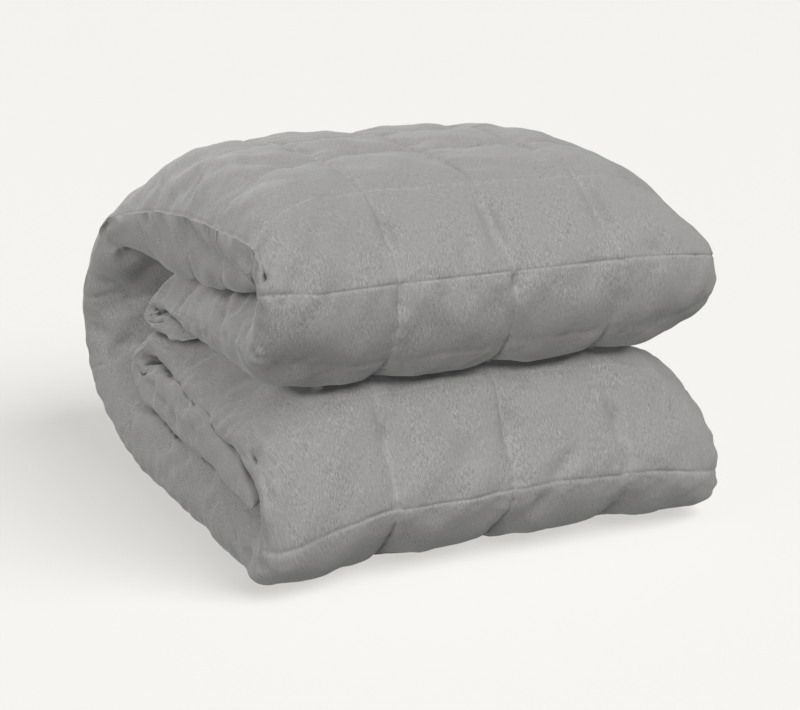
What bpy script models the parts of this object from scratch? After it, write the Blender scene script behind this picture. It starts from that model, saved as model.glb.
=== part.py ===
"""A quilted weighted blanket, folded back and forth into a thick, plump bundle.

One closed solid.  Its section is one path of cloth: a tucked end, the lower layer of the
upper slab, the upper front fold, the top, the round back, the base, the lower front fold
and two more layers that fill the lower slab.  Every quilting row that crosses the path is
one row of FOLD_ROWS, and the pockets between the seams stand proud of them.
Metres, +Z up, -Y to the front fold, origin on the surface under the middle of the bundle.
"""

import math
from collections import namedtuple

import bmesh
import bpy

# Quilting
POCKET = 0.100            # spacing of the seams, as the filling draws them in
SEAM_DIP = 0.0075         # how far a seam lies below the crown of its pockets
POCKET_ROUNDNESS = 0.55   # below 1, pockets are flat on top and steep at their seams
SEAM_STEPS = (0.0, 0.10, 0.34, 0.66, 0.90)   # places of the mesh lines in one pocket

# Ends of the bundle
END_COLUMN = 2.0          # the sewn edges lie two pockets either side of the middle
LAST_SEAM = 1.0           # the outermost seams that run along the path
END_STEPS = (0.0, 0.12, 0.36, 0.62, 0.82, 0.94)   # mesh lines from the last seam to the edge
LEFT_ROUNDING = 2.6       # exponent of the plump left end, 2 is an ellipse
RIGHT_ROUNDING = 2.0      # exponent of the flatter right end
SWELL_START = 3.0         # how late an end's extra fullness comes in, 1 is a straight line
RIGHT_SWELL = 0.6         # how much of the left end's extra fullness the right end has
EDGE_PULL = 1.6           # how late a layer turns towards its sewn edge, 1 is a straight line
TIP_ROUNDING = 0.35       # share of a pocket over which a loose end thins out
TIP_THICKNESS = 0.30      # what is left of the thickness at a loose end

MIDDLE = (-0.0043, -0.0102)   # middle of the bundle on the surface, in the table's x and y

# One row of quilting across the path.  outer and inner are the crowns of the layer's two
# faces in the middle of the bundle, as (y, z); left and right are its sewn edges, as
# (x, y, z); swell is how much fuller the outer and the inner face are at the left edge.
FoldRow = namedtuple("FoldRow", "row place outer inner left right swell")
FOLD_ROWS = (
    FoldRow(-4.00, "tucked end", (-0.0375, 0.1635), (-0.0375, 0.1555),
            (-0.1850, -0.0250, 0.1535), (0.1885, -0.0290, 0.1565), (1.0, 1.0)),
    FoldRow(-3.50, "tucked end", (0.0250, 0.1700), (0.0375, 0.1540),
            (-0.1900, 0.0335, 0.1485), (0.1935, 0.0335, 0.1560), (1.0, 1.0)),
    FoldRow(-3.15, "inner fold", (0.0585, 0.1725), (0.1050, 0.1690),
            (-0.1950, 0.0685, 0.1515), (0.1965, 0.0790, 0.1640), (1.0, 0.8)),
    FoldRow(-2.80, "inner fold", (0.0290, 0.1745), (0.0815, 0.2065),
            (-0.1965, 0.0600, 0.1690), (0.1985, 0.0600, 0.1790), (1.0, 0.6)),
    FoldRow(-2.00, "under upper slab", (-0.0085, 0.1740), (0.0040, 0.2200),
            (-0.2000, -0.0125, 0.1710), (0.2000, -0.0040, 0.1835), (1.0, 0.7)),
    FoldRow(-1.00, "under upper slab", (-0.1165, 0.1480), (-0.0875, 0.2225),
            (-0.2025, -0.1165, 0.1760), (0.2025, -0.1000, 0.1810), (0.9, 0.9)),
    FoldRow(0.00, "upper front fold", (-0.2225, 0.1625), (-0.1540, 0.2225),
            (-0.2050, -0.2035, 0.1850), (0.1990, -0.1850, 0.1790), (0.9, 1.0)),
    FoldRow(1.00, "upper front fold", (-0.2375, 0.2375), (-0.1800, 0.2255),
            (-0.2050, -0.2300, 0.2335), (0.1985, -0.1950, 0.2200), (1.0, 1.1)),
    FoldRow(2.00, "top", (-0.1635, 0.2915), (-0.1400, 0.2275),
            (-0.2025, -0.2135, 0.2650), (0.2000, -0.1375, 0.2310), (1.0, 2.0)),
    FoldRow(3.00, "top", (-0.0635, 0.3010), (-0.0585, 0.2265),
            (-0.2015, -0.1315, 0.2640), (0.2040, -0.0540, 0.2425), (1.0, 2.8)),
    FoldRow(4.00, "top", (0.0365, 0.2990), (0.0290, 0.2260),
            (-0.2015, -0.0550, 0.2625), (0.2065, 0.0335, 0.2440), (1.0, 3.1)),
    FoldRow(5.00, "top", (0.1335, 0.2790), (0.0985, 0.2215),
            (-0.2040, 0.0435, 0.2515), (0.2085, 0.1100, 0.2360), (1.0, 3.0)),
    FoldRow(6.00, "back", (0.2010, 0.2150), (0.1375, 0.1885),
            (-0.2110, 0.1485, 0.2165), (0.2085, 0.1715, 0.1935), (1.0, 1.6)),
    FoldRow(7.00, "back", (0.2225, 0.1310), (0.1535, 0.1310),
            (-0.2165, 0.2085, 0.1290), (0.2085, 0.1935, 0.1310), (1.0, 1.1)),
    FoldRow(8.00, "back", (0.1965, 0.0465), (0.1400, 0.0835),
            (-0.2165, 0.1785, 0.0615), (0.2085, 0.1690, 0.0650), (1.0, 1.1)),
    FoldRow(9.00, "base", (0.1165, -0.0015), (0.0900, 0.0610),
            (-0.2140, 0.0875, 0.0335), (0.2085, 0.1040, 0.0315), (1.0, 1.0)),
    FoldRow(10.00, "base", (0.0165, -0.0025), (0.0125, 0.0610),
            (-0.2100, -0.0065, 0.0300), (0.2085, 0.0125, 0.0285), (1.0, 1.0)),
    FoldRow(11.00, "base", (-0.0835, -0.0025), (-0.0790, 0.0610),
            (-0.2065, -0.0935, 0.0275), (0.2065, -0.0835, 0.0265), (1.0, 1.0)),
    FoldRow(12.00, "base", (-0.1765, -0.0015), (-0.1515, 0.0625),
            (-0.2050, -0.1650, 0.0215), (0.2035, -0.1710, 0.0235), (1.0, 1.0)),
    FoldRow(12.50, "lower front fold", (-0.2165, 0.0200), (-0.1710, 0.0690),
            (-0.2050, -0.2035, 0.0225), (0.2025, -0.2015, 0.0215), (1.0, 1.0)),
    FoldRow(13.00, "lower front fold", (-0.2360, 0.0585), (-0.1825, 0.0800),
            (-0.2050, -0.2250, 0.0415), (0.2000, -0.2135, 0.0400), (1.0, 1.0)),
    FoldRow(13.50, "lower front fold", (-0.2300, 0.1040), (-0.1810, 0.0925),
            (-0.2040, -0.2190, 0.0835), (0.2000, -0.2040, 0.0715), (1.0, 1.0)),
    FoldRow(14.00, "lower front fold", (-0.1940, 0.1380), (-0.1565, 0.1020),
            (-0.2035, -0.1785, 0.1015), (0.2000, -0.1635, 0.0910), (1.0, 1.0)),
    FoldRow(15.00, "over lower slab", (-0.1085, 0.1420), (-0.0960, 0.1030),
            (-0.2025, -0.1115, 0.1050), (0.2050, -0.1000, 0.1010), (1.0, 1.0)),
    FoldRow(16.00, "over lower slab", (-0.0165, 0.1465), (-0.0085, 0.1030),
            (-0.2015, -0.0250, 0.1150), (0.2065, -0.0125, 0.1065), (1.0, 1.0)),
    FoldRow(16.80, "inner fold", (0.0710, 0.1390), (0.0515, 0.1020),
            (-0.2000, 0.0515, 0.1215), (0.2050, 0.0665, 0.1085), (1.0, 1.0)),
    FoldRow(17.20, "inner fold", (0.1140, 0.1065), (0.0650, 0.1005),
            (-0.1965, 0.0785, 0.1100), (0.2000, 0.0875, 0.0950), (1.3, 1.0)),
    FoldRow(17.60, "inner fold", (0.0790, 0.0685), (0.0515, 0.0990),
            (-0.1935, 0.0735, 0.0935), (0.1965, 0.0665, 0.0815), (1.4, 1.0)),
    FoldRow(18.20, "inside lower slab", (0.0085, 0.0640), (0.0040, 0.0990),
            (-0.1900, 0.0085, 0.0835), (0.1935, 0.0040, 0.0765), (1.5, 1.0)),
    FoldRow(19.20, "inside lower slab", (-0.0875, 0.0640), (-0.0875, 0.0990),
            (-0.1900, -0.0915, 0.0800), (0.1915, -0.0875, 0.0765), (1.5, 1.0)),
    FoldRow(20.00, "inside lower slab", (-0.1535, 0.0715), (-0.1535, 0.0910),
            (-0.1900, -0.1625, 0.0785), (0.1900, -0.1565, 0.0785), (1.3, 1.0)),
)

CLOTH_COLOUR = (0.33, 0.33, 0.32, 1.0)
CLOTH_ROUGHNESS = 0.92


def clear_scene():
    """Leaves an empty scene to build in."""
    for old in list(bpy.data.objects):
        bpy.data.objects.remove(old, do_unlink=True)


def smooth_through(knots, points, at):
    """The smooth curve through the points at the knots, read at one place."""
    last = len(knots) - 1
    k = max(i for i in range(last) if knots[i] <= at or i == 0)
    span = knots[k + 1] - knots[k]
    t = (at - knots[k]) / span

    def slope(i):
        """The curve's direction at a knot, from the knots on either side."""
        if i in (0, last):
            a, b = (0, 1) if i == 0 else (last - 1, last)
            return [(q - p) / (knots[b] - knots[a]) for p, q in zip(points[a], points[b])]
        before, after = knots[i] - knots[i - 1], knots[i + 1] - knots[i]
        return [((q - p) / before * after + (r - q) / after * before) / (before + after)
                for p, q, r in zip(points[i - 1], points[i], points[i + 1])]

    start, end = 2 * t**3 - 3 * t**2 + 1, 3 * t**2 - 2 * t**3
    lead, trail = (t**3 - 2 * t**2 + t) * span, (t**3 - t**2) * span
    return [start * p + end * q + lead * m + trail * n
            for p, q, m, n in zip(points[k], points[k + 1], slope(k), slope(k + 1))]


def plumpness(row, column):
    """0 on a seam and 1 on the crown of a pocket."""
    across = abs(math.sin(math.pi * row))
    beyond = abs(column) - LAST_SEAM
    along = math.sin(math.pi * min(beyond, 0.5)) if beyond > 0 else abs(math.sin(math.pi * column))
    return (across * along) ** POCKET_ROUNDNESS


def tip_share(row):
    """What share of the full thickness a layer keeps near the two loose ends of the path."""
    first, last = FOLD_ROWS[0].row, FOLD_ROWS[-1].row
    inside = min(row - first, last - row) / TIP_ROUNDING
    if inside >= 1:
        return 1.0
    return TIP_THICKNESS + (1 - TIP_THICKNESS) * math.sqrt(1 - (1 - inside) ** 2)


def cloth_point(row, column, outside):
    """A point of the cloth's outer or inner face, or of the sewn edge at an end column."""
    knots = [r.row for r in FOLD_ROWS]
    outer = smooth_through(knots, [r.outer for r in FOLD_ROWS], row)
    inner = smooth_through(knots, [r.inner for r in FOLD_ROWS], row)
    middle = [(o + i) / 2 for o, i in zip(outer, inner)]
    face = outer if outside else inner
    half = [f - m for f, m in zip(face, middle)]
    depth = math.hypot(*half)
    dip = SEAM_DIP * (1 - plumpness(row, column))
    thick = tip_share(row) * (1 - min(dip / depth, 0.5))
    x = column * POCKET
    y, z = middle
    beyond = (abs(column) - LAST_SEAM) / (END_COLUMN - LAST_SEAM)
    if beyond > 0:
        edges = [r.left if column < 0 else r.right for r in FOLD_ROWS]
        edge_x, edge_y, edge_z = smooth_through(knots, edges, row)
        seam_x = math.copysign(LAST_SEAM * POCKET, column)
        x = seam_x + (edge_x - seam_x) * beyond
        turn = beyond ** EDGE_PULL
        y += (edge_y - y) * turn
        z += (edge_z - z) * turn
        rounding = LEFT_ROUNDING if column < 0 else RIGHT_ROUNDING
        thick *= (1 - beyond ** rounding) ** (1 / rounding)
        swell = smooth_through(knots, [r.swell for r in FOLD_ROWS], row)[0 if outside else 1]
        fuller = (swell - 1) * (1 if column < 0 else RIGHT_SWELL)
        thick *= 1 + fuller * beyond ** SWELL_START
    return x - MIDDLE[0], y - MIDDLE[1] + half[0] * thick, max(z + half[1] * thick, 0.0)


def row_places():
    """The rows at which the path has mesh lines, close together by the seams."""
    first, last = FOLD_ROWS[0].row, FOLD_ROWS[-1].row
    places = [whole + step for whole in range(int(first), int(last)) for step in SEAM_STEPS]
    return places + [last]


def column_places():
    """The columns at which each face has mesh lines, from the left edge to the right one."""
    half = [LAST_SEAM + (END_COLUMN - LAST_SEAM) * step for step in END_STEPS[1:]] + [END_COLUMN]
    between = [whole + step for whole in (-1, 0) for step in SEAM_STEPS] + [LAST_SEAM]
    return [-c for c in reversed(half)] + between + half


def build_blanket():
    """The folded blanket: rings of cloth round the layer, one for each place on the path."""
    shell = bmesh.new()
    columns = column_places()
    rings = []
    for row in row_places():
        outer = [shell.verts.new(cloth_point(row, c, True)) for c in columns]
        inner = [shell.verts.new(cloth_point(row, c, False)) for c in columns[1:-1]]
        rings.append(outer + inner[::-1])
    count = len(rings[0])
    for here, after in zip(rings, rings[1:]):
        for i in range(count):
            j = (i + 1) % count
            shell.faces.new((here[i], here[j], after[j], after[i]))
    for ring in (rings[0], rings[-1]):
        for i in range(len(columns) - 1):
            corners = (ring[i], ring[i + 1], ring[-i - 1], ring[-i] if i else ring[0])
            shell.faces.new(dict.fromkeys(corners))
    bmesh.ops.recalc_face_normals(shell, faces=shell.faces)
    mesh = bpy.data.meshes.new("blanket")
    shell.to_mesh(mesh)
    shell.free()
    mesh.shade_smooth()
    blanket = bpy.data.objects.new("blanket", mesh)
    bpy.context.scene.collection.objects.link(blanket)
    return blanket


def cloth_material():
    """Brushed grey marl cloth."""
    material = bpy.data.materials.new("brushed_cloth")
    material.use_nodes = True
    surface = material.node_tree.nodes["Principled BSDF"]
    surface.inputs["Base Color"].default_value = CLOTH_COLOUR
    surface.inputs["Roughness"].default_value = CLOTH_ROUGHNESS
    surface.inputs["Metallic"].default_value = 0.0
    return material


def main():
    """Builds the blanket and gives it its cloth."""
    clear_scene()
    blanket = build_blanket()
    blanket.data.materials.append(cloth_material())


main()
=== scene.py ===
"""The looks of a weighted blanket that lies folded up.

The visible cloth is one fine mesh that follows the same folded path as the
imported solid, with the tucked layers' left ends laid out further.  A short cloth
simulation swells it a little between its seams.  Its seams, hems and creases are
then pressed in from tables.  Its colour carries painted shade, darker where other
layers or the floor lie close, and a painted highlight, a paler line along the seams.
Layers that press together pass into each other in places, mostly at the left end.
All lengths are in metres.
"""

import logging
import math
from dataclasses import dataclass, field
from enum import Enum
from typing import Any

import bpy
import numpy as np
from mathutils import Matrix, Vector
from mathutils.bvhtree import BVHTree

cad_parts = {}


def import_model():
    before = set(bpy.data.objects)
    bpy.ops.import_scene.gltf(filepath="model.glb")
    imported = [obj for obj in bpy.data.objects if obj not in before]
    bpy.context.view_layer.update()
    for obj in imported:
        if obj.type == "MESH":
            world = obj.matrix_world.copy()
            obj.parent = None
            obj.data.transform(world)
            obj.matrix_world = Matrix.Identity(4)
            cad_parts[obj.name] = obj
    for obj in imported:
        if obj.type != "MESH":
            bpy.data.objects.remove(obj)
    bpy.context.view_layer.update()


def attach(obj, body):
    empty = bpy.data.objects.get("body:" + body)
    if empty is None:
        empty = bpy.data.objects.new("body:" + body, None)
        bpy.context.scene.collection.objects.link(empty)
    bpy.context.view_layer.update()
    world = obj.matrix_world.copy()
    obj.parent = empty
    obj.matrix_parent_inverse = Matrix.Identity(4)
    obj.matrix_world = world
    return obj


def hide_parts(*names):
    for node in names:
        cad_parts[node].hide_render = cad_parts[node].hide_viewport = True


LOG = logging.getLogger("weighted_blanket")
MM = 0.001

Pair = tuple[float, float]
Triple = tuple[float, float, float]


def linear(colour: str) -> tuple[float, float, float, float]:
    """Turn an sRGB hex colour into the linear one that a shader takes.

    Args:
        colour: Six hex digits, such as "A0A09E".

    Returns:
        Linear red, green and blue, and an alpha of 1.
    """
    parts = [int(colour[i : i + 2], 16) / 255 for i in (0, 2, 4)]
    red, green, blue = (
        p / 12.92 if p <= 0.04045 else ((p + 0.055) / 1.055) ** 2.4 for p in parts
    )
    return red, green, blue, 1.0


def add_node(
    tree: bpy.types.NodeTree, kind: str, settings: dict, links: dict
) -> bpy.types.Node:
    """Add one node to a material.

    Args:
        tree: The material's node tree.
        kind: The node's type name.
        settings: Properties by name, and socket values by socket name or index.
        links: Output sockets by the name or index of the input they feed.

    Returns:
        The new node.
    """
    node = tree.nodes.new(kind)
    for name, value in settings.items():
        if isinstance(name, str) and hasattr(node, name):
            setattr(node, name, value)
        else:
            node.inputs[name].default_value = value
    for name, source in links.items():
        tree.links.new(source, node.inputs[name])
    return node


class Face(Enum):
    """The two faces of the quilted layer."""

    OUTER = 0
    INNER = 1


@dataclass(frozen=True)
class FoldRow:
    """Where the folded layer lies at one place on its path.

    Args:
        row: Place on the path, in pockets; whole numbers are seams.
        place: What the layer does there; not used.
        outer: y and z of the outer face in the middle of the bundle.
        inner: y and z of the inner face there.
        left: Place of the sewn edge at the left end.
        right: Place of the sewn edge at the right end.
        swell: Extra fullness of the two faces towards the ends.
    """

    row: float
    place: str
    outer: Pair
    inner: Pair
    left: Triple
    right: Triple
    swell: Pair


FOLD_ROWS: tuple[FoldRow, ...] = (
    FoldRow(-4.00, "tucked end", (-0.0375, 0.1635), (-0.0375, 0.1555),
            (-0.1980, -0.0250, 0.1500), (0.1885, -0.0290, 0.1565), (2.6, 1.0)),
    FoldRow(-3.50, "tucked end", (0.0250, 0.1700), (0.0375, 0.1540),
            (-0.2020, 0.0335, 0.1465), (0.1935, 0.0335, 0.1560), (3.0, 1.0)),
    FoldRow(-3.15, "inner fold", (0.0585, 0.1725), (0.1050, 0.1690),
            (-0.2010, 0.0700, 0.1480), (0.1965, 0.0790, 0.1640), (1.8, 1.0)),
    FoldRow(-2.80, "inner fold", (0.0290, 0.1745), (0.0815, 0.2065),
            (-0.1965, 0.0585, 0.1620), (0.1985, 0.0600, 0.1790), (1.0, 0.45)),
    FoldRow(-2.00, "under upper slab", (-0.0085, 0.1740), (0.0040, 0.2200),
            (-0.2000, -0.0125, 0.1700), (0.2000, -0.0040, 0.1835), (1.0, 0.5)),
    FoldRow(-1.00, "under upper slab", (-0.1165, 0.1465), (-0.0875, 0.2225),
            (-0.2025, -0.1165, 0.1800), (0.2025, -0.1000, 0.1860), (0.9, 0.9)),
    FoldRow(0.00, "upper front fold", (-0.2140, 0.1610), (-0.1540, 0.2225),
            (-0.2050, -0.2035, 0.1870), (0.1990, -0.1850, 0.1860), (0.75, 1.0)),
    FoldRow(1.00, "upper front fold", (-0.2375, 0.2375), (-0.1800, 0.2255),
            (-0.2050, -0.2300, 0.2335), (0.1985, -0.1950, 0.2200), (1.0, 1.1)),
    FoldRow(2.00, "top", (-0.1635, 0.2915), (-0.1400, 0.2275),
            (-0.2025, -0.2135, 0.2650), (0.2000, -0.1375, 0.2310), (1.0, 2.0)),
    FoldRow(3.00, "top", (-0.0635, 0.3010), (-0.0585, 0.2265),
            (-0.2015, -0.1315, 0.2640), (0.2040, -0.0540, 0.2425), (1.0, 2.8)),
    FoldRow(4.00, "top", (0.0365, 0.2990), (0.0290, 0.2260),
            (-0.2015, -0.0550, 0.2590), (0.2065, 0.0335, 0.2440), (1.0, 3.2)),
    FoldRow(5.00, "top", (0.1335, 0.2790), (0.0985, 0.2215),
            (-0.2040, 0.0435, 0.2445), (0.2085, 0.1100, 0.2360), (1.0, 3.5)),
    FoldRow(6.00, "back", (0.2010, 0.2150), (0.1375, 0.1885),
            (-0.2145, 0.1485, 0.2115), (0.2085, 0.1715, 0.1935), (1.0, 2.3)),
    FoldRow(7.00, "back", (0.2225, 0.1310), (0.1535, 0.1310),
            (-0.2200, 0.1985, 0.1290), (0.2085, 0.1935, 0.1310), (1.0, 1.1)),
    FoldRow(8.00, "back", (0.1965, 0.0465), (0.1400, 0.0835),
            (-0.2200, 0.1710, 0.0620), (0.2085, 0.1690, 0.0650), (1.0, 1.5)),
    FoldRow(9.00, "base", (0.1165, -0.0015), (0.0900, 0.0610),
            (-0.2180, 0.0875, 0.0300), (0.2085, 0.1040, 0.0315), (1.0, 2.4)),
    FoldRow(10.00, "base", (0.0165, -0.0025), (0.0125, 0.0610),
            (-0.2155, -0.0065, 0.0255), (0.2085, 0.0125, 0.0285), (1.0, 3.0)),
    FoldRow(11.00, "base", (-0.0835, -0.0025), (-0.0790, 0.0610),
            (-0.2095, -0.0935, 0.0225), (0.2065, -0.0835, 0.0265), (1.0, 3.0)),
    FoldRow(12.00, "base", (-0.1765, -0.0015), (-0.1515, 0.0625),
            (-0.2050, -0.1650, 0.0180), (0.2035, -0.1710, 0.0235), (1.0, 2.6)),
    FoldRow(12.50, "lower front fold", (-0.2165, 0.0200), (-0.1710, 0.0690),
            (-0.2050, -0.2035, 0.0180), (0.2025, -0.2015, 0.0215), (1.0, 1.8)),
    FoldRow(13.00, "lower front fold", (-0.2400, 0.0590), (-0.1825, 0.0800),
            (-0.2050, -0.2250, 0.0370), (0.2000, -0.2135, 0.0400), (1.0, 1.0)),
    FoldRow(13.50, "lower front fold", (-0.2200, 0.1040), (-0.1810, 0.0925),
            (-0.2040, -0.2190, 0.0835), (0.2000, -0.2040, 0.0715), (1.0, 1.0)),
    FoldRow(14.00, "lower front fold", (-0.1970, 0.1425), (-0.1565, 0.1020),
            (-0.2035, -0.1785, 0.1015), (0.2000, -0.1635, 0.0910), (1.0, 1.0)),
    FoldRow(15.00, "over lower slab", (-0.1085, 0.1440), (-0.0960, 0.1030),
            (-0.2025, -0.1115, 0.1050), (0.2050, -0.1000, 0.1010), (1.0, 1.0)),
    FoldRow(16.00, "over lower slab", (-0.0165, 0.1465), (-0.0085, 0.1030),
            (-0.2015, -0.0250, 0.1150), (0.2065, -0.0125, 0.1065), (1.0, 1.0)),
    FoldRow(16.80, "inner fold", (0.0710, 0.1390), (0.0515, 0.1020),
            (-0.2050, 0.0515, 0.1275), (0.2050, 0.0665, 0.1085), (1.0, 1.0)),
    FoldRow(17.20, "inner fold", (0.1140, 0.1065), (0.0650, 0.1005),
            (-0.2095, 0.0785, 0.1080), (0.2000, 0.0875, 0.0950), (1.3, 1.0)),
    FoldRow(17.60, "inner fold", (0.0790, 0.0685), (0.0515, 0.0990),
            (-0.2105, 0.0735, 0.0890), (0.1965, 0.0665, 0.0815), (1.2, 2.6)),
    FoldRow(18.20, "inside lower slab", (0.0085, 0.0640), (0.0040, 0.0990),
            (-0.2100, 0.0085, 0.0800), (0.1935, 0.0040, 0.0765), (1.0, 4.0)),
    FoldRow(19.20, "inside lower slab", (-0.0875, 0.0640), (-0.0875, 0.0990),
            (-0.2085, -0.1000, 0.0770), (0.1915, -0.0875, 0.0765), (1.0, 4.0)),
    FoldRow(20.00, "inside lower slab", (-0.1535, 0.0715), (-0.1535, 0.0910),
            (-0.2060, -0.2080, 0.0690), (0.1900, -0.1565, 0.0785), (1.0, 3.6)),
)

@dataclass(frozen=True)
class Crease:
    """A soft trough, or a ridge where the depth is negative, laid one by one.

    Args:
        face: The face of the layer that it lies on.
        path: Its points as (row, column).
        width: Half its width, in millimetres.
        depth: How deep it is in the middle, in millimetres.
    """

    face: Face
    path: tuple[Pair, ...]
    width: float
    depth: float


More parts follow.
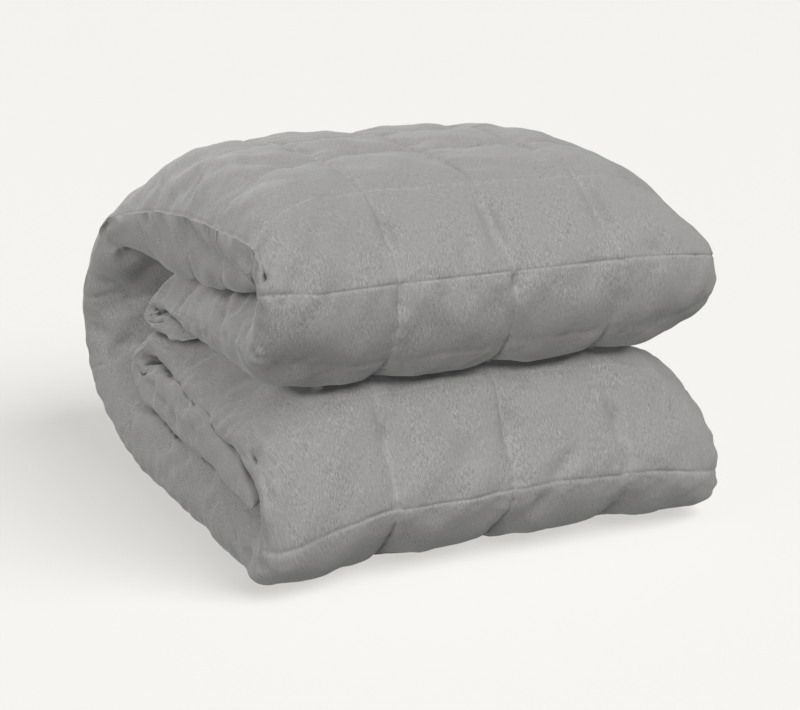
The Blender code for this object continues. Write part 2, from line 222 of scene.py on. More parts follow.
CREASES: tuple[Crease, ...] = (
    # beside column seam -1
    Crease(Face.OUTER, ((1.78, -0.900), (1.56, -0.930), (1.33, -0.975)), 6, 3.78),
    # beside column seam -1 low
    Crease(Face.OUTER, ((1.30, -1.035), (1.22, -1.041), (1.11, -1.047)), 5, 2.52),
    # beside column seam 0
    Crease(Face.OUTER, ((1.80, -0.103), (1.62, -0.078), (1.39, -0.098), (1.13, -0.130)), 7, 4.9),
    # ridge right of column seam 0
    Crease(Face.OUTER, ((1.82, -0.007), (1.57, -0.007), (1.28, -0.032)), 7, -2.52),
    # ridge right of column seam -1
    Crease(Face.OUTER, ((1.76, -0.838), (1.54, -0.855), (1.32, -0.890)), 7, -1.96),
    # beside column seam 1
    Crease(Face.OUTER, ((1.86, 0.857), (1.60, 0.860), (1.29, 0.808)), 7, 4.2),
    # ridge right of column seam 1
    Crease(Face.OUTER, ((1.83, 0.955), (1.56, 0.950), (1.23, 0.907)), 7, -1.96),
    # dent over front seam
    Crease(Face.OUTER, ((1.31, -0.370), (1.24, -0.372), (1.16, -0.385)), 7, 4.9),
    # ridge by the dent
    Crease(Face.OUTER, ((1.33, -0.260), (1.23, -0.285), (1.14, -0.335)), 6, -2.52),
    # fold under the dent
    Crease(Face.OUTER, ((1.03, -0.573), (0.90, -0.597), (0.75, -0.617)), 7, 3.36),
    # short fold under front seam
    Crease(Face.OUTER, ((0.96, -0.042), (0.87, -0.032), (0.76, -0.025)), 4, 3.08),
    # fold under front seam left
    Crease(Face.OUTER, ((0.95, -0.980), (0.82, -0.980), (0.65, -0.978)), 5, 2.66),
    # fold under front seam right
    Crease(Face.OUTER, ((0.98, 0.660), (0.85, 0.627), (0.66, 0.600)), 8, 3.08),
    # long soft fold, upper front
    Crease(Face.OUTER, ((0.77, -0.537), (0.59, -0.570), (0.34, -0.570)), 10, 3.36),
    # soft fold, upper front middle
    Crease(Face.OUTER, ((0.76, -0.430), (0.57, -0.435), (0.35, -0.448)), 10, -2.24),
    # soft hollow, right pocket
    Crease(Face.OUTER, ((0.90, 0.275), (0.67, 0.268), (0.42, 0.252)), 10, 1.84),
    # soft hollow, far right pocket
    Crease(Face.OUTER, ((0.92, 1.188), (0.69, 1.188), (0.50, 1.169)), 9, 1.84),
    # soft hollow, left pocket
    Crease(Face.OUTER, ((0.89, -1.366), (0.67, -1.383), (0.44, -1.404)), 12, 1.84),
    # soft hollow, above front seam
    Crease(Face.OUTER, ((1.63, -1.665), (1.45, -1.452), (1.45, -1.191)), 12, 2.07),
    # ridge at the left corner
    Crease(Face.OUTER, ((1.79, -1.903), (1.84, -1.832), (1.85, -1.721)), 5, -2.24),
    # hollow at the left corner
    Crease(Face.OUTER, ((1.54, -1.938), (1.63, -1.882), (1.68, -1.805)), 6, 3.08),
    # pull at the right end 1
    Crease(Face.OUTER, ((1.27, 1.270), (1.13, 1.407), (1.04, 1.599)), 5, 1.61),
    # pull at the right end 2
    Crease(Face.OUTER, ((1.13, 1.079), (1.07, 1.212), (1.02, 1.383)), 5, 1.38),
    # beside column seam 0, lower
    Crease(Face.OUTER, ((13.73, 0.070), (13.60, 0.062), (13.47, 0.028), (13.34, -0.042)), 7, 4.9),
    # ridge right of it, lower
    Crease(Face.OUTER, ((13.72, 0.160), (13.57, 0.157), (13.41, 0.115)), 7, -2.24),
    # dent, lower front
    Crease(Face.OUTER, ((13.42, -0.392), (13.37, -0.362), (13.31, -0.345)), 9, 4.48),
    # wrinkle from the lower seam
    Crease(Face.OUTER, ((13.07, 0.335), (13.15, 0.413), (13.22, 0.498), (13.31, 0.635)), 6, 3.78),
    # ridge by the wrinkle
    Crease(Face.OUTER, ((13.03, 0.443), (13.12, 0.535), (13.22, 0.657)), 6, -2.1),
    # beside column seam 1, lower
    Crease(Face.OUTER, ((13.65, 0.958), (13.52, 0.985), (13.40, 0.980), (13.28, 0.943)), 6, 4.2),
    # ridge by column seam 1, lower
    Crease(Face.OUTER, ((13.66, 1.057), (13.49, 1.094), (13.30, 1.072)), 6, -1.96),
    # short fold, column seam 1
    Crease(Face.OUTER, ((13.21, 1.035), (13.12, 0.995), (13.01, 0.983)), 4, 2.52),
    # beside column seam -1, lower
    Crease(Face.OUTER, ((13.83, -1.022), (13.67, -0.995), (13.52, -0.978)), 6, 2.66),
    # fold under the lower seam
    Crease(Face.OUTER, ((12.89, 0.242), (12.80, 0.228), (12.66, 0.228)), 6, 3.08),
    # fold under the lower seam 2
    Crease(Face.OUTER, ((12.95, -0.137), (12.84, -0.147), (12.71, -0.135)), 5, 2.24),
    # soft hollow, lower left pocket
    Crease(Face.OUTER, ((13.71, -1.672), (13.46, -1.648), (13.28, -1.601)), 12, 1.84),
    # soft hollow, lower middle pocket
    Crease(Face.OUTER, ((13.75, -0.537), (13.55, -0.562), (13.36, -0.620)), 11, 1.84),
    # corner dart, lower slab
    Crease(Face.OUTER, ((14.20, -1.854), (14.04, -1.850), (13.91, -1.837)), 3, 3.36),
    # corner bump, lower slab
    Crease(Face.OUTER, ((13.95, -1.886), (13.88, -1.885), (13.81, -1.883)), 5, -2.66),
    # corner fold, lower slab
    Crease(Face.OUTER, ((13.69, -1.950), (13.52, -1.961), (13.38, -1.953)), 4, 3.08),
    # small wrinkle on top 1
    Crease(Face.OUTER, ((3.67, -1.728), (3.63, -1.681), (3.59, -1.621)), 3, 1.96),
    # small wrinkle on top 2
    Crease(Face.OUTER, ((2.96, -1.844), (2.92, -1.803), (2.88, -1.743)), 3, 2.24),
    # small wrinkle on top 3
    Crease(Face.OUTER, ((3.33, -1.141), (3.42, -0.920), (3.19, -0.833)), 4, 2.24),
    # small wrinkle on top 4
    Crease(Face.OUTER, ((3.14, -0.640), (3.15, -0.545), (3.18, -0.415)), 3, 1.68),
    # small wrinkle on top 5
    Crease(Face.OUTER, ((3.01, -0.802), (2.85, -0.780), (2.60, -0.787)), 3, 1.68),
    # soft fold on top, left
    Crease(Face.OUTER, ((3.93, -1.955), (4.01, -1.888), (3.95, -1.826), (3.77, -1.764)), 5, 2.24),
    # soft ridge on top, left
    Crease(Face.OUTER, ((3.66, -1.943), (3.73, -1.891), (3.65, -1.826)), 6, -1.68),
    # soft hollow on top
    Crease(Face.OUTER, ((2.59, -0.125), (2.34, 0.115), (2.29, 0.393)), 9, 1.72),
    # soft hollow on top, right
    Crease(Face.OUTER, ((1.87, 1.044), (1.70, 1.342), (1.49, 1.529)), 9, 1.84),
    # gather 1
    Crease(Face.INNER, ((5.17, -2.000), (5.20, -1.998), (5.17, -1.987)), 4, 3.59),
    # gather 2, ridge
    Crease(Face.INNER, ((4.42, -1.999), (4.30, -1.995)), 3, -2.81),
    # gather 3
    Crease(Face.INNER, ((4.18, -1.998), (3.99, -1.990)), 5, 4.52),
    # gather 4
    Crease(Face.INNER, ((4.06, -2.000), (3.80, -1.998), (3.32, -1.992), (2.88, -1.974)), 7, 8.11),
    # gather 4, ridge
    Crease(Face.INNER, ((3.42, -1.999), (2.90, -1.993)), 5, -3.59),
    # gather 5
    Crease(Face.INNER, ((3.35, -2.000), (3.07, -1.996), (2.69, -1.987), (2.41, -1.964)), 5, 5.3),
    # gather 5, ridge
    Crease(Face.INNER, ((2.83, -2.000), (2.45, -1.996), (2.07, -1.980)), 5, -3.59),
    # gather 6
    Crease(Face.INNER, ((2.48, -1.999), (2.06, -1.994)), 4, 4.06),
    # gather 7
    Crease(Face.OUTER, ((1.62, -2.000), (1.25, -1.968)), 3, 4.06),
    # gather 8
    Crease(Face.OUTER, ((1.74, -1.961), (1.57, -1.957), (1.43, -1.954)), 2.5, 2.81),
    # soft fold, upper left
    Crease(Face.INNER, ((4.81, -2.000), (4.81, -1.997), (4.73, -1.986)), 5, 2.73),
    # turned flap
    Crease(Face.INNER, ((6.09, -1.999), (5.72, -2.000)), 5, 5.85),
    # turned flap, ridge
    Crease(Face.INNER, ((6.23, -1.999), (5.79, -1.996), (5.33, -2.000)), 3.5, -2.6),
    # valley in the back curve 1
    Crease(Face.INNER, ((6.14, -1.998), (6.05, -1.953), (6.12, -1.842), (5.00, -1.944)), 8, 6.55),
    # ridge in the back curve 1
    Crease(Face.INNER, ((6.31, -1.981), (6.35, -1.857), (6.47, -1.669)), 8, -2.08),
    # valley in the back curve 2
    Crease(Face.INNER, ((6.64, -1.989), (6.63, -1.865), (6.71, -1.699)), 7, 3.43),
    # dimple in the back curve
    Crease(Face.INNER, ((6.84, -1.741), (6.87, -1.697), (6.93, -1.643)), 6, 4.42),
    # valley over the lower back seam
    Crease(Face.INNER, ((7.62, -1.877), (7.57, -1.799), (7.48, -1.713)), 8, 7.18),
    # ridge under the dimple
    Crease(Face.INNER, ((7.16, -1.915), (7.13, -1.795), (7.11, -1.702)), 10, -2.08),
    # edge wave, back curve
    Crease(Face.INNER, ((7.27, -1.988), (7.33, -1.934), (7.39, -1.859)), 5, 4.42),
    # nose crumple 1
    Crease(Face.OUTER, ((-2.87, -1.995), (-2.86, -1.949)), 3, 4.68),
    # nose crumple 2
    Crease(Face.OUTER, ((-3.12, -1.992), (-3.37, -1.978), (-3.59, -1.950)), 3, 4.99),
    # nose crumple 3
    Crease(Face.OUTER, ((-3.55, -1.996), (-3.67, -1.963), (-3.78, -1.914)), 3, 3.74),
    # nose tuck
    Crease(Face.INNER, ((-2.50, -1.876), (-2.54, -1.929), (-2.44, -1.978)), 4, 4.21),
    # fold by the inner seam 1
    Crease(Face.INNER, ((-1.99, -1.780), (-2.03, -1.844), (-2.01, -1.926)), 4, 2.96),
    # fold by the inner seam 2
    Crease(Face.INNER, ((-0.97, -1.847), (-0.88, -1.916), (-0.82, -1.973)), 5, 3.43),
    # pointed tuck
    Crease(Face.OUTER, ((0.12, -2.000), (0.15, -1.963)), 3.5, 5.46),
    # pointed tuck, ridge
    Crease(Face.OUTER, ((0.27, -1.998), (0.29, -1.963)), 3, -2.96),
    # fold before the tuck
    Crease(Face.INNER, ((-0.31, -1.914), (-0.32, -1.972), (-0.31, -1.997)), 5, 3.43),
    # wrinkle by seam 16
    Crease(Face.OUTER, ((16.18, -1.911), (16.16, -1.873), (16.13, -1.840)), 3, 2.5),
    # fold at the lower nose 1
    Crease(Face.INNER, ((17.31, -1.999), (17.66, -1.974), (17.87, -1.934)), 4, 4.68),
    # fold at the lower nose 2
    Crease(Face.INNER, ((17.68, -1.996), (17.90, -1.987), (18.10, -1.975)), 4, 4.99),
    # fold at the lower nose 3
    Crease(Face.INNER, ((17.75, -1.986), (17.98, -1.990), (18.10, -1.997)), 3.5, 4.21),
    # fold at the lower nose 4
    Crease(Face.INNER, ((18.10, -1.996), (18.24, -1.995), (18.42, -1.992)), 3.5, 4.21),
    # fold along the lower inner end 1
    Crease(Face.INNER, ((18.41, -1.998), (18.54, -1.999), (18.66, -2.000)), 3.5, 4.21),
    # fold along the lower inner end 2
    Crease(Face.INNER, ((18.88, -1.990), (18.97, -1.994), (19.12, -1.996)), 4, 3.74),
    # ridge along the lower inner end
    Crease(Face.INNER, ((18.65, -1.989), (18.79, -1.990), (18.97, -1.990)), 4, -3.43),
    # dart at the inner corner
    Crease(Face.OUTER, ((13.95, -1.983), (13.87, -1.980), (13.78, -1.982)), 3, 4.68),
    # seam of the inner end
    Crease(Face.INNER, ((19.71, -2.000), (19.79, -1.980)), 2.5, 3.43),
    # ridge on the base layer
    Crease(Face.INNER, ((8.87, -1.900), (8.98, -1.943), (9.05, -1.979)), 4, -4.21),
    # valley on the base layer
    Crease(Face.INNER, ((8.66, -1.915), (8.84, -1.957), (8.92, -1.980)), 5, 4.99),
    # wrinkle on the base layer
    Crease(Face.INNER, ((10.13, -1.996), (10.21, -1.988), (10.31, -1.975)), 4, 2.96),
    # soft hollow on the base layer
    Crease(Face.INNER, ((9.69, -1.982), (10.03, -1.972), (10.38, -1.955)), 8, 3.43),
    # soft hollow on the base layer 2
    Crease(Face.INNER, ((11.00, -1.978), (11.31, -1.964)), 8, 3.43),
    # fold by the front corner
    Crease(Face.INNER, ((12.26, -2.000), (12.60, -1.982)), 5, 3.9),
    # bump at the front corner
    Crease(Face.OUTER, ((12.64, -2.000), (12.76, -1.997), (12.84, -1.988)), 4, -2.86),
    # fold under the upper corner
    Crease(Face.INNER, ((-0.66, -1.737), (-0.66, -1.828), (-0.61, -1.927)), 5, 3.2),
    # crumple before the tuck
    Crease(Face.INNER, ((-0.67, -1.992), (-0.61, -2.000)), 3.5, 3.84),
    # crumple before the tuck, ridge
    Crease(Face.INNER, ((-0.43, -1.975), (-0.30, -1.993), (-0.03, -2.000)), 3.5, -2.88),
    # fold over the lower nose
    Crease(Face.OUTER, ((16.65, -1.993), (16.49, -1.981), (16.35, -1.926)), 3.5, 2.88),
    # wrinkle of the base 1
    Crease(Face.INNER, ((10.70, -1.936), (10.40, -1.983), (10.15, -1.996)), 3.5, 3.6),
    # wrinkle of the base 1, ridge
    Crease(Face.INNER, ((10.81, -1.948), (10.53, -1.986), (10.33, -1.997)), 4, -2.64),
    # wrinkle of the base 2
    Crease(Face.INNER, ((11.49, -1.984), (11.20, -1.998)), 3.5, 3.6),
    # wrinkle of the base 2, ridge
    Crease(Face.INNER, ((11.74, -1.982), (11.41, -1.998)), 4, -2.64),
    # wrinkle of the base 3
    Crease(Face.INNER, ((12.67, -1.906), (12.51, -1.952), (12.23, -1.992)), 3.5, 3.36),
    # nose crumple 4
    Crease(Face.OUTER, ((-2.98, -1.996), (-3.02, -1.970), (-3.17, -1.924)), 2.5, -3),
    # nose crumple 5
    Crease(Face.OUTER, ((-2.74, -1.996), (-2.90, -1.974)), 2.5, 3.36),
    # lower nose lump
    Crease(Face.INNER, ((17.18, -1.978), (17.29, -1.936), (17.76, -1.931)), 4, -3.12),
    # lower nose ridge
    Crease(Face.INNER, ((17.69, -1.977), (17.90, -1.976), (18.06, -1.958)), 3, -2.88),
    # strip fold 1
    Crease(Face.INNER, ((18.60, -1.973), (18.74, -1.977), (18.85, -1.978)), 3, 3.36),
    # strip fold 2
    Crease(Face.INNER, ((19.21, -1.957), (19.30, -1.973), (19.40, -1.977)), 3, 3.12),
    # strip fold 3
    Crease(Face.INNER, ((19.55, -1.953), (19.62, -1.965), (19.71, -1.957)), 3, 2.88),
    # hollow under the left front corner
    Crease(Face.OUTER, ((0.25, -1.920), (0.10, -1.650), (0.00, -1.300)), 22, 7),
    # hollow under the right front corner
    Crease(Face.OUTER, ((0.20, 1.200), (0.10, 1.500), (0.10, 1.850)), 20, 4.5),
)

# How far the seams that run across the path draw each face in, by row, in millimetres.
ROW_SEAM_DEPTHS: dict[Face, tuple[Pair, ...]] = {
    Face.OUTER: (
        (-4, 3.0), (-1, 4.0), (0, 2.4), (1, 1.8), (2, 3.0), (3, 3.4), (4, 2.6), (5, 2.6),
        (6, 3.5), (9, 4.5), (12, 3.5), (13, 3.2), (14, 3.0), (15, 3.0), (16, 3.2), (20, 3.2),
    ),
    Face.INNER: (
        (-4, 3.6), (0, 3.6), (2, 3.0), (4, 3.0), (6, 3.0), (7, 3.6), (8, 4.5), (12, 4.0),
        (20, 3.0),
    ),
}

# The same for the seams that run along the path.
COLUMN_SEAM_DEPTHS: dict[Face, tuple[Pair, ...]] = {
    Face.OUTER: (
        (-4, 3.0), (-1, 6.5), (0, 7.5), (0.3, 5.5), (0.7, 3.0), (1.0, 3.0), (1.5, 4.2),
        (2, 4.0), (3, 3.8), (5, 4.0), (6, 4.5), (9, 6.0), (12, 8.0), (12.6, 7.5), (13, 4.5),
        (13.4, 3.2), (14, 3.6), (15, 4.0), (20, 3.5),
    ),
    Face.INNER: ((-4, 3.5), (6, 3.5), (12, 4.0), (20, 3.5)),
}

# Where the seams across the path wander, by seam, as (column, row).
ROW_SEAM_PLACES: dict[Face, dict[int, tuple[Pair, ...]]] = {
    Face.OUTER: {
        0: ((-2, 0.15), (-1, 0.20), (1, 0.28)),
        1: ((-2, 1.08), (-1.6, 0.98), (2, 0.99)),
        2: ((-2, 2.05), (0, 2.02), (1, 1.98)),
        3: (
            (-2, 3.05), (-1.76, 2.87), (-1.47, 2.84), (-1.2, 2.91),
            (-0.8, 3.0), (-0.5, 3.12), (0, 3.03),
        ),
        4: (
            (-2, 4.85), (-1.85, 4.78), (-1.71, 4.44), (-1.55, 4.02),
            (-1.3, 3.82), (-1.1, 3.80), (0, 3.9), (1, 4.0),
        ),
        5: ((-2, 5.6), (-1.5, 5.1), (-1, 5.0)),
        6: ((-2, 6.25), (-1, 6.0)),
        13: ((-2, 13.06), (-0.7, 13.0), (0.5, 13.04), (0.9, 12.99), (2, 13.06)),
        14: (
            (-2, 14.36), (-1.88, 14.37), (-1.69, 14.22), (-1.4, 14.08),
            (-1.05, 13.99), (0, 14.05), (1, 13.97),
        ),
        15: ((-2, 15.2), (-1.65, 15.22), (-1, 15.1)),
        16: ((-2, 16.03), (-1, 15.9)),
        19: ((-2, 18.85), (-1, 19.0)),
    },
    Face.INNER: {
        -1: ((-2, -0.81), (-1.79, -1.01)),
        0: ((-2, -0.18), (-1.9, 0.1), (-1, 0.0)),
        5: ((-2, 4.98), (-1.98, 5.19), (-1.9, 5.15), (-1, 5.0)),
        6: ((-2, 5.95), (-1, 6.0)),
        7: ((-2, 6.87), (-1.87, 6.79), (-1.72, 6.75), (-1.6, 6.78), (-1, 6.9)),
        8: ((-2, 7.82), (-1.88, 7.81), (-1.76, 7.64), (-1.7, 7.59), (-1, 7.8)),
        9: ((-2, 8.92), (-1.94, 8.99), (-1.87, 9.26), (-1.83, 9.46), (-1.7, 9.6), (-1, 9.2)),
        10: ((-2, 10.05), (-1.88, 10.23), (-1.8, 10.33), (-1.4, 10.4), (-1, 10.1)),
        11: ((-2, 11.07), (-1.96, 11.16), (-1.82, 11.19), (-1, 11.05)),
        12: ((-2, 11.95), (-1.97, 12.24), (-1.92, 12.45), (-1, 12.2)),
        19: ((-2, 18.95), (-1.96, 19.2), (-1, 19.0)),
    },
}

# Where the seams along the path wander, by seam, as (row, column).
COLUMN_SEAM_PLACES: dict[int, tuple[Pair, ...]] = {
    -1: ((0, -1.01), (1, -0.98), (1.5, -0.94), (2.2, -0.92), (3.3, -0.90), (4.5, -0.95), (6, -1.0)),
    0: ((0.5, -0.02), (1.0, -0.04), (1.5, -0.06), (2, 0.0), (12.5, -0.06), (13, 0.0)),
    1: (
        (-0.5, 0.90), (0, 0.84), (0.5, 0.89), (1, 0.88), (1.5, 0.86), (2, 0.88), (3, 0.91),
        (5, 0.97), (12, 1.0), (13.2, 1.06), (13.6, 0.98), (14, 0.94),
    ),
}

# How sharply the outer face turns over at the left hem, by row: 0 is round, 1 is an edge.
CRISP_HEM: tuple[Pair, ...] = (
    (-4, 0.0), (0.8, 0.0), (1.6, 0.7), (2, 1.0), (8.2, 1.0), (9, 0.3), (20, 0.0),
)


def smooth_through(
    knots: np.ndarray, points: np.ndarray, places: np.ndarray
) -> np.ndarray:
    """Read a smooth curve through points at uneven knots.

    Args:
        knots: Place of each point, rising.
        points: One point per knot.
        places: The places at which to read the curve.

    Returns:
        One point per place.
    """
    steps = np.diff(knots)[:, None]
    runs = np.diff(points, axis=0) / steps
    slopes = np.empty_like(points)
    slopes[0], slopes[-1] = runs[0], runs[-1]
    before, after = steps[:-1], steps[1:]
    slopes[1:-1] = (runs[:-1] * after + runs[1:] * before) / (before + after)
    k = np.clip(np.searchsorted(knots, places, side="right") - 1, 0, len(knots) - 2)
    span = steps[k]
    t = (places - knots[k])[:, None] / span
    start, end = 2 * t**3 - 3 * t**2 + 1, 3 * t**2 - 2 * t**3
    lead, trail = (t**3 - 2 * t**2 + t) * span, (t**3 - t**2) * span
    return start * points[k] + end * points[k + 1] + lead * slopes[k] + trail * slopes[k + 1]


@dataclass
class FoldedLayer:
    """The quilted layer's shape, read at any row and column of its seams."""

    pocket: float = 0.100
    roundness: float = 0.62
    last_seam: float = 1.0
    end_column: float = 2.0
    left_rounding: float = 2.6
    right_rounding: float = 2.0
    swell_start: float = 3.0
    right_swell: float = 0.6
    edge_pull: float = 1.6
    tip_rounding: float = 0.35
    crisp_power: float = 5.0
    middle: Pair = (-0.0043, -0.0102)
    seam_softening: float = 3.0 * MM
    lines_per_pocket: int = 32
    end_lines: int = 34
    crowding: float = 0.65
    knots: np.ndarray = field(init=False)

    def __post_init__(self) -> None:
        """Keep the knots of the fold table."""
        self.knots = np.array([r.row for r in FOLD_ROWS])

    def _table(self, values: list, places: np.ndarray) -> np.ndarray:
        """Read one column of the fold table at many places."""
        return smooth_through(self.knots, np.array(values, float), places)

    def crowded(self, count: int) -> np.ndarray:
        """Mesh lines of one pocket, closer together by its seams.

        Args:
            count: How many lines a pocket has.

        Returns:
            Their places from 0 up to, but without, 1.
        """
        even = np.arange(count) / count
        return even - self.crowding / (2 * math.pi) * np.sin(2 * math.pi * even)

    def row_lines(self) -> np.ndarray:
        """Rows at which the mesh has lines."""
        first, last = int(self.knots[0]), int(self.knots[-1])
        lines = [whole + self.crowded(self.lines_per_pocket) for whole in range(first, last)]
        return np.append(np.concatenate(lines), last)

    def column_lines(self) -> np.ndarray:
        """Columns at which each face has lines, from the left edge to the right one."""
        turn = np.linspace(0, math.pi / 2, self.end_lines + 1)[1:]
        end = self.last_seam + (self.end_column - self.last_seam) * np.sin(turn)
        between = np.concatenate([whole + self.crowded(self.lines_per_pocket) for whole in (-1, 0)])
        return np.concatenate([-end[::-1], between, [1.0], end])

    def pocket_places(
        self, rows: np.ndarray, columns: np.ndarray, face: Face
    ) -> tuple[np.ndarray, np.ndarray]:
        """Rows and columns counted in the cloth's own wandering seams.

        Args:
            rows: Rows of the fold table.
            columns: Columns.
            face: Which face.

        Returns:
            Two grids, whole on the seams across the path and on those along it.
        """
        seams = np.arange(int(self.knots[0]), int(self.knots[-1]) + 1)
        wandering = ROW_SEAM_PLACES[face]
        across = np.empty((len(rows), len(columns)))
        places = np.array(
            [
                np.interp(columns, *np.array(wandering[s], float).T)
                if s in wandering
                else np.full(len(columns), float(s))
                for s in seams
            ]
        )
        for i in range(len(columns)):
            across[:, i] = np.interp(rows, places[:, i], seams)
        ends = [-self.end_column, *COLUMN_SEAM_PLACES, self.end_column]
        along = np.empty_like(across)
        lines = np.array(
            [np.interp(rows, *np.array(p, float).T) for p in COLUMN_SEAM_PLACES.values()]
        )
        for i in range(len(rows)):
            along[i] = np.interp(
                columns, [-self.end_column, *lines[:, i], self.end_column], ends
            )
        return across, along

    def seam_dips(self, rows: np.ndarray, columns: np.ndarray, face: Face) -> np.ndarray:
        """How far a grid of places lies below the crowns of the pockets.

        Args:
            rows: Rows to read.
            columns: Columns to read.
            face: Which face.

        Returns:
            Depths in metres, rows by columns.
        """
        row_place, column_place = self.pocket_places(rows, columns, face)
        across = np.abs(np.sin(math.pi * row_place)) ** self.roundness
        knots, depths = np.array(ROW_SEAM_DEPTHS[face], float).T
        row_dip = np.interp(np.round(row_place), knots, depths) * MM * (1 - across)
        beyond = np.abs(column_place) - self.last_seam
        along = np.where(
            beyond > 0,
            np.sin(math.pi * np.clip(beyond, 0, 0.5)),
            np.abs(np.sin(math.pi * column_place)),
        )
        knots, depths = np.array(COLUMN_SEAM_DEPTHS[face], float).T
        column_dip = np.interp(rows, knots, depths)[:, None] * MM * (1 - along**self.roundness)
        return (row_dip**3 + column_dip**3) ** (1 / 3)

    def tip_share(self, rows: np.ndarray) -> np.ndarray:
        """What share of its thickness the layer keeps near its two loose ends."""
        inside = np.minimum(rows - self.knots[0], self.knots[-1] - rows) / self.tip_rounding
        return np.sqrt(1 - (1 - np.clip(inside, 0, 1)) ** 2)

    def face_points(self, rows: np.ndarray, columns: np.ndarray, face: Face) -> np.ndarray:
        """Places on one face of the layer.

        Args:
            rows: Rows to read.
            columns: Columns to read.
            face: Which face.

        Returns:
            An array of rows by columns by x, y and z.
        """
        outer = self._table([r.outer for r in FOLD_ROWS], rows)
        inner = self._table([r.inner for r in FOLD_ROWS], rows)
        centre = (outer + inner) / 2
        half = (outer if face is Face.OUTER else inner) - centre
        depth = np.hypot(half[:, 0], half[:, 1])[:, None]
        thick = self.tip_share(rows)[:, None]
        beyond = np.clip(
            (np.abs(columns) - self.last_seam) / (self.end_column - self.last_seam), 0, 1
        )[None, :]
        on_left = (columns < 0)[None, :]
        left = self._table([r.left for r in FOLD_ROWS], rows)
        right = self._table([r.right for r in FOLD_ROWS], rows)
        edge = np.where(on_left[..., None], left[:, None, :], right[:, None, :])
        seam_x = np.sign(columns)[None, :] * self.last_seam * self.pocket
        x = np.where(
            beyond > 0,
            seam_x + (edge[..., 0] - seam_x) * beyond,
            columns[None, :] * self.pocket,
        )
        turn = beyond**self.edge_pull
        y = centre[:, :1] + (edge[..., 1] - centre[:, :1]) * turn
        z = centre[:, 1:] + (edge[..., 2] - centre[:, 1:]) * turn
        rounding = np.where(on_left, self.left_rounding, self.right_rounding)
        round_end = (1 - beyond**rounding) ** (1 / rounding)
        if face is Face.OUTER:
            crisp = np.interp(rows, *np.array(CRISP_HEM, float).T)[:, None] * on_left
            round_end = round_end + (1 - beyond**self.crisp_power - round_end) * crisp
        thick = thick * round_end
        swell = self._table([r.swell for r in FOLD_ROWS], rows)[:, face.value : face.value + 1]
        fuller = (swell - 1) * np.where(on_left, 1.0, self.right_swell)
        thick = thick * (1 + fuller * beyond**self.swell_start)
        dip = self.seam_dips(rows, columns, face)
        thick = thick * (1 - np.minimum(dip / (depth * thick + self.seam_softening), 0.5))
        return np.stack(
            [
                x - self.middle[0],
                y - self.middle[1] + half[:, :1] * thick,
                np.maximum(z + half[:, 1:] * thick, 0.0),
            ],
            axis=-1,
        )


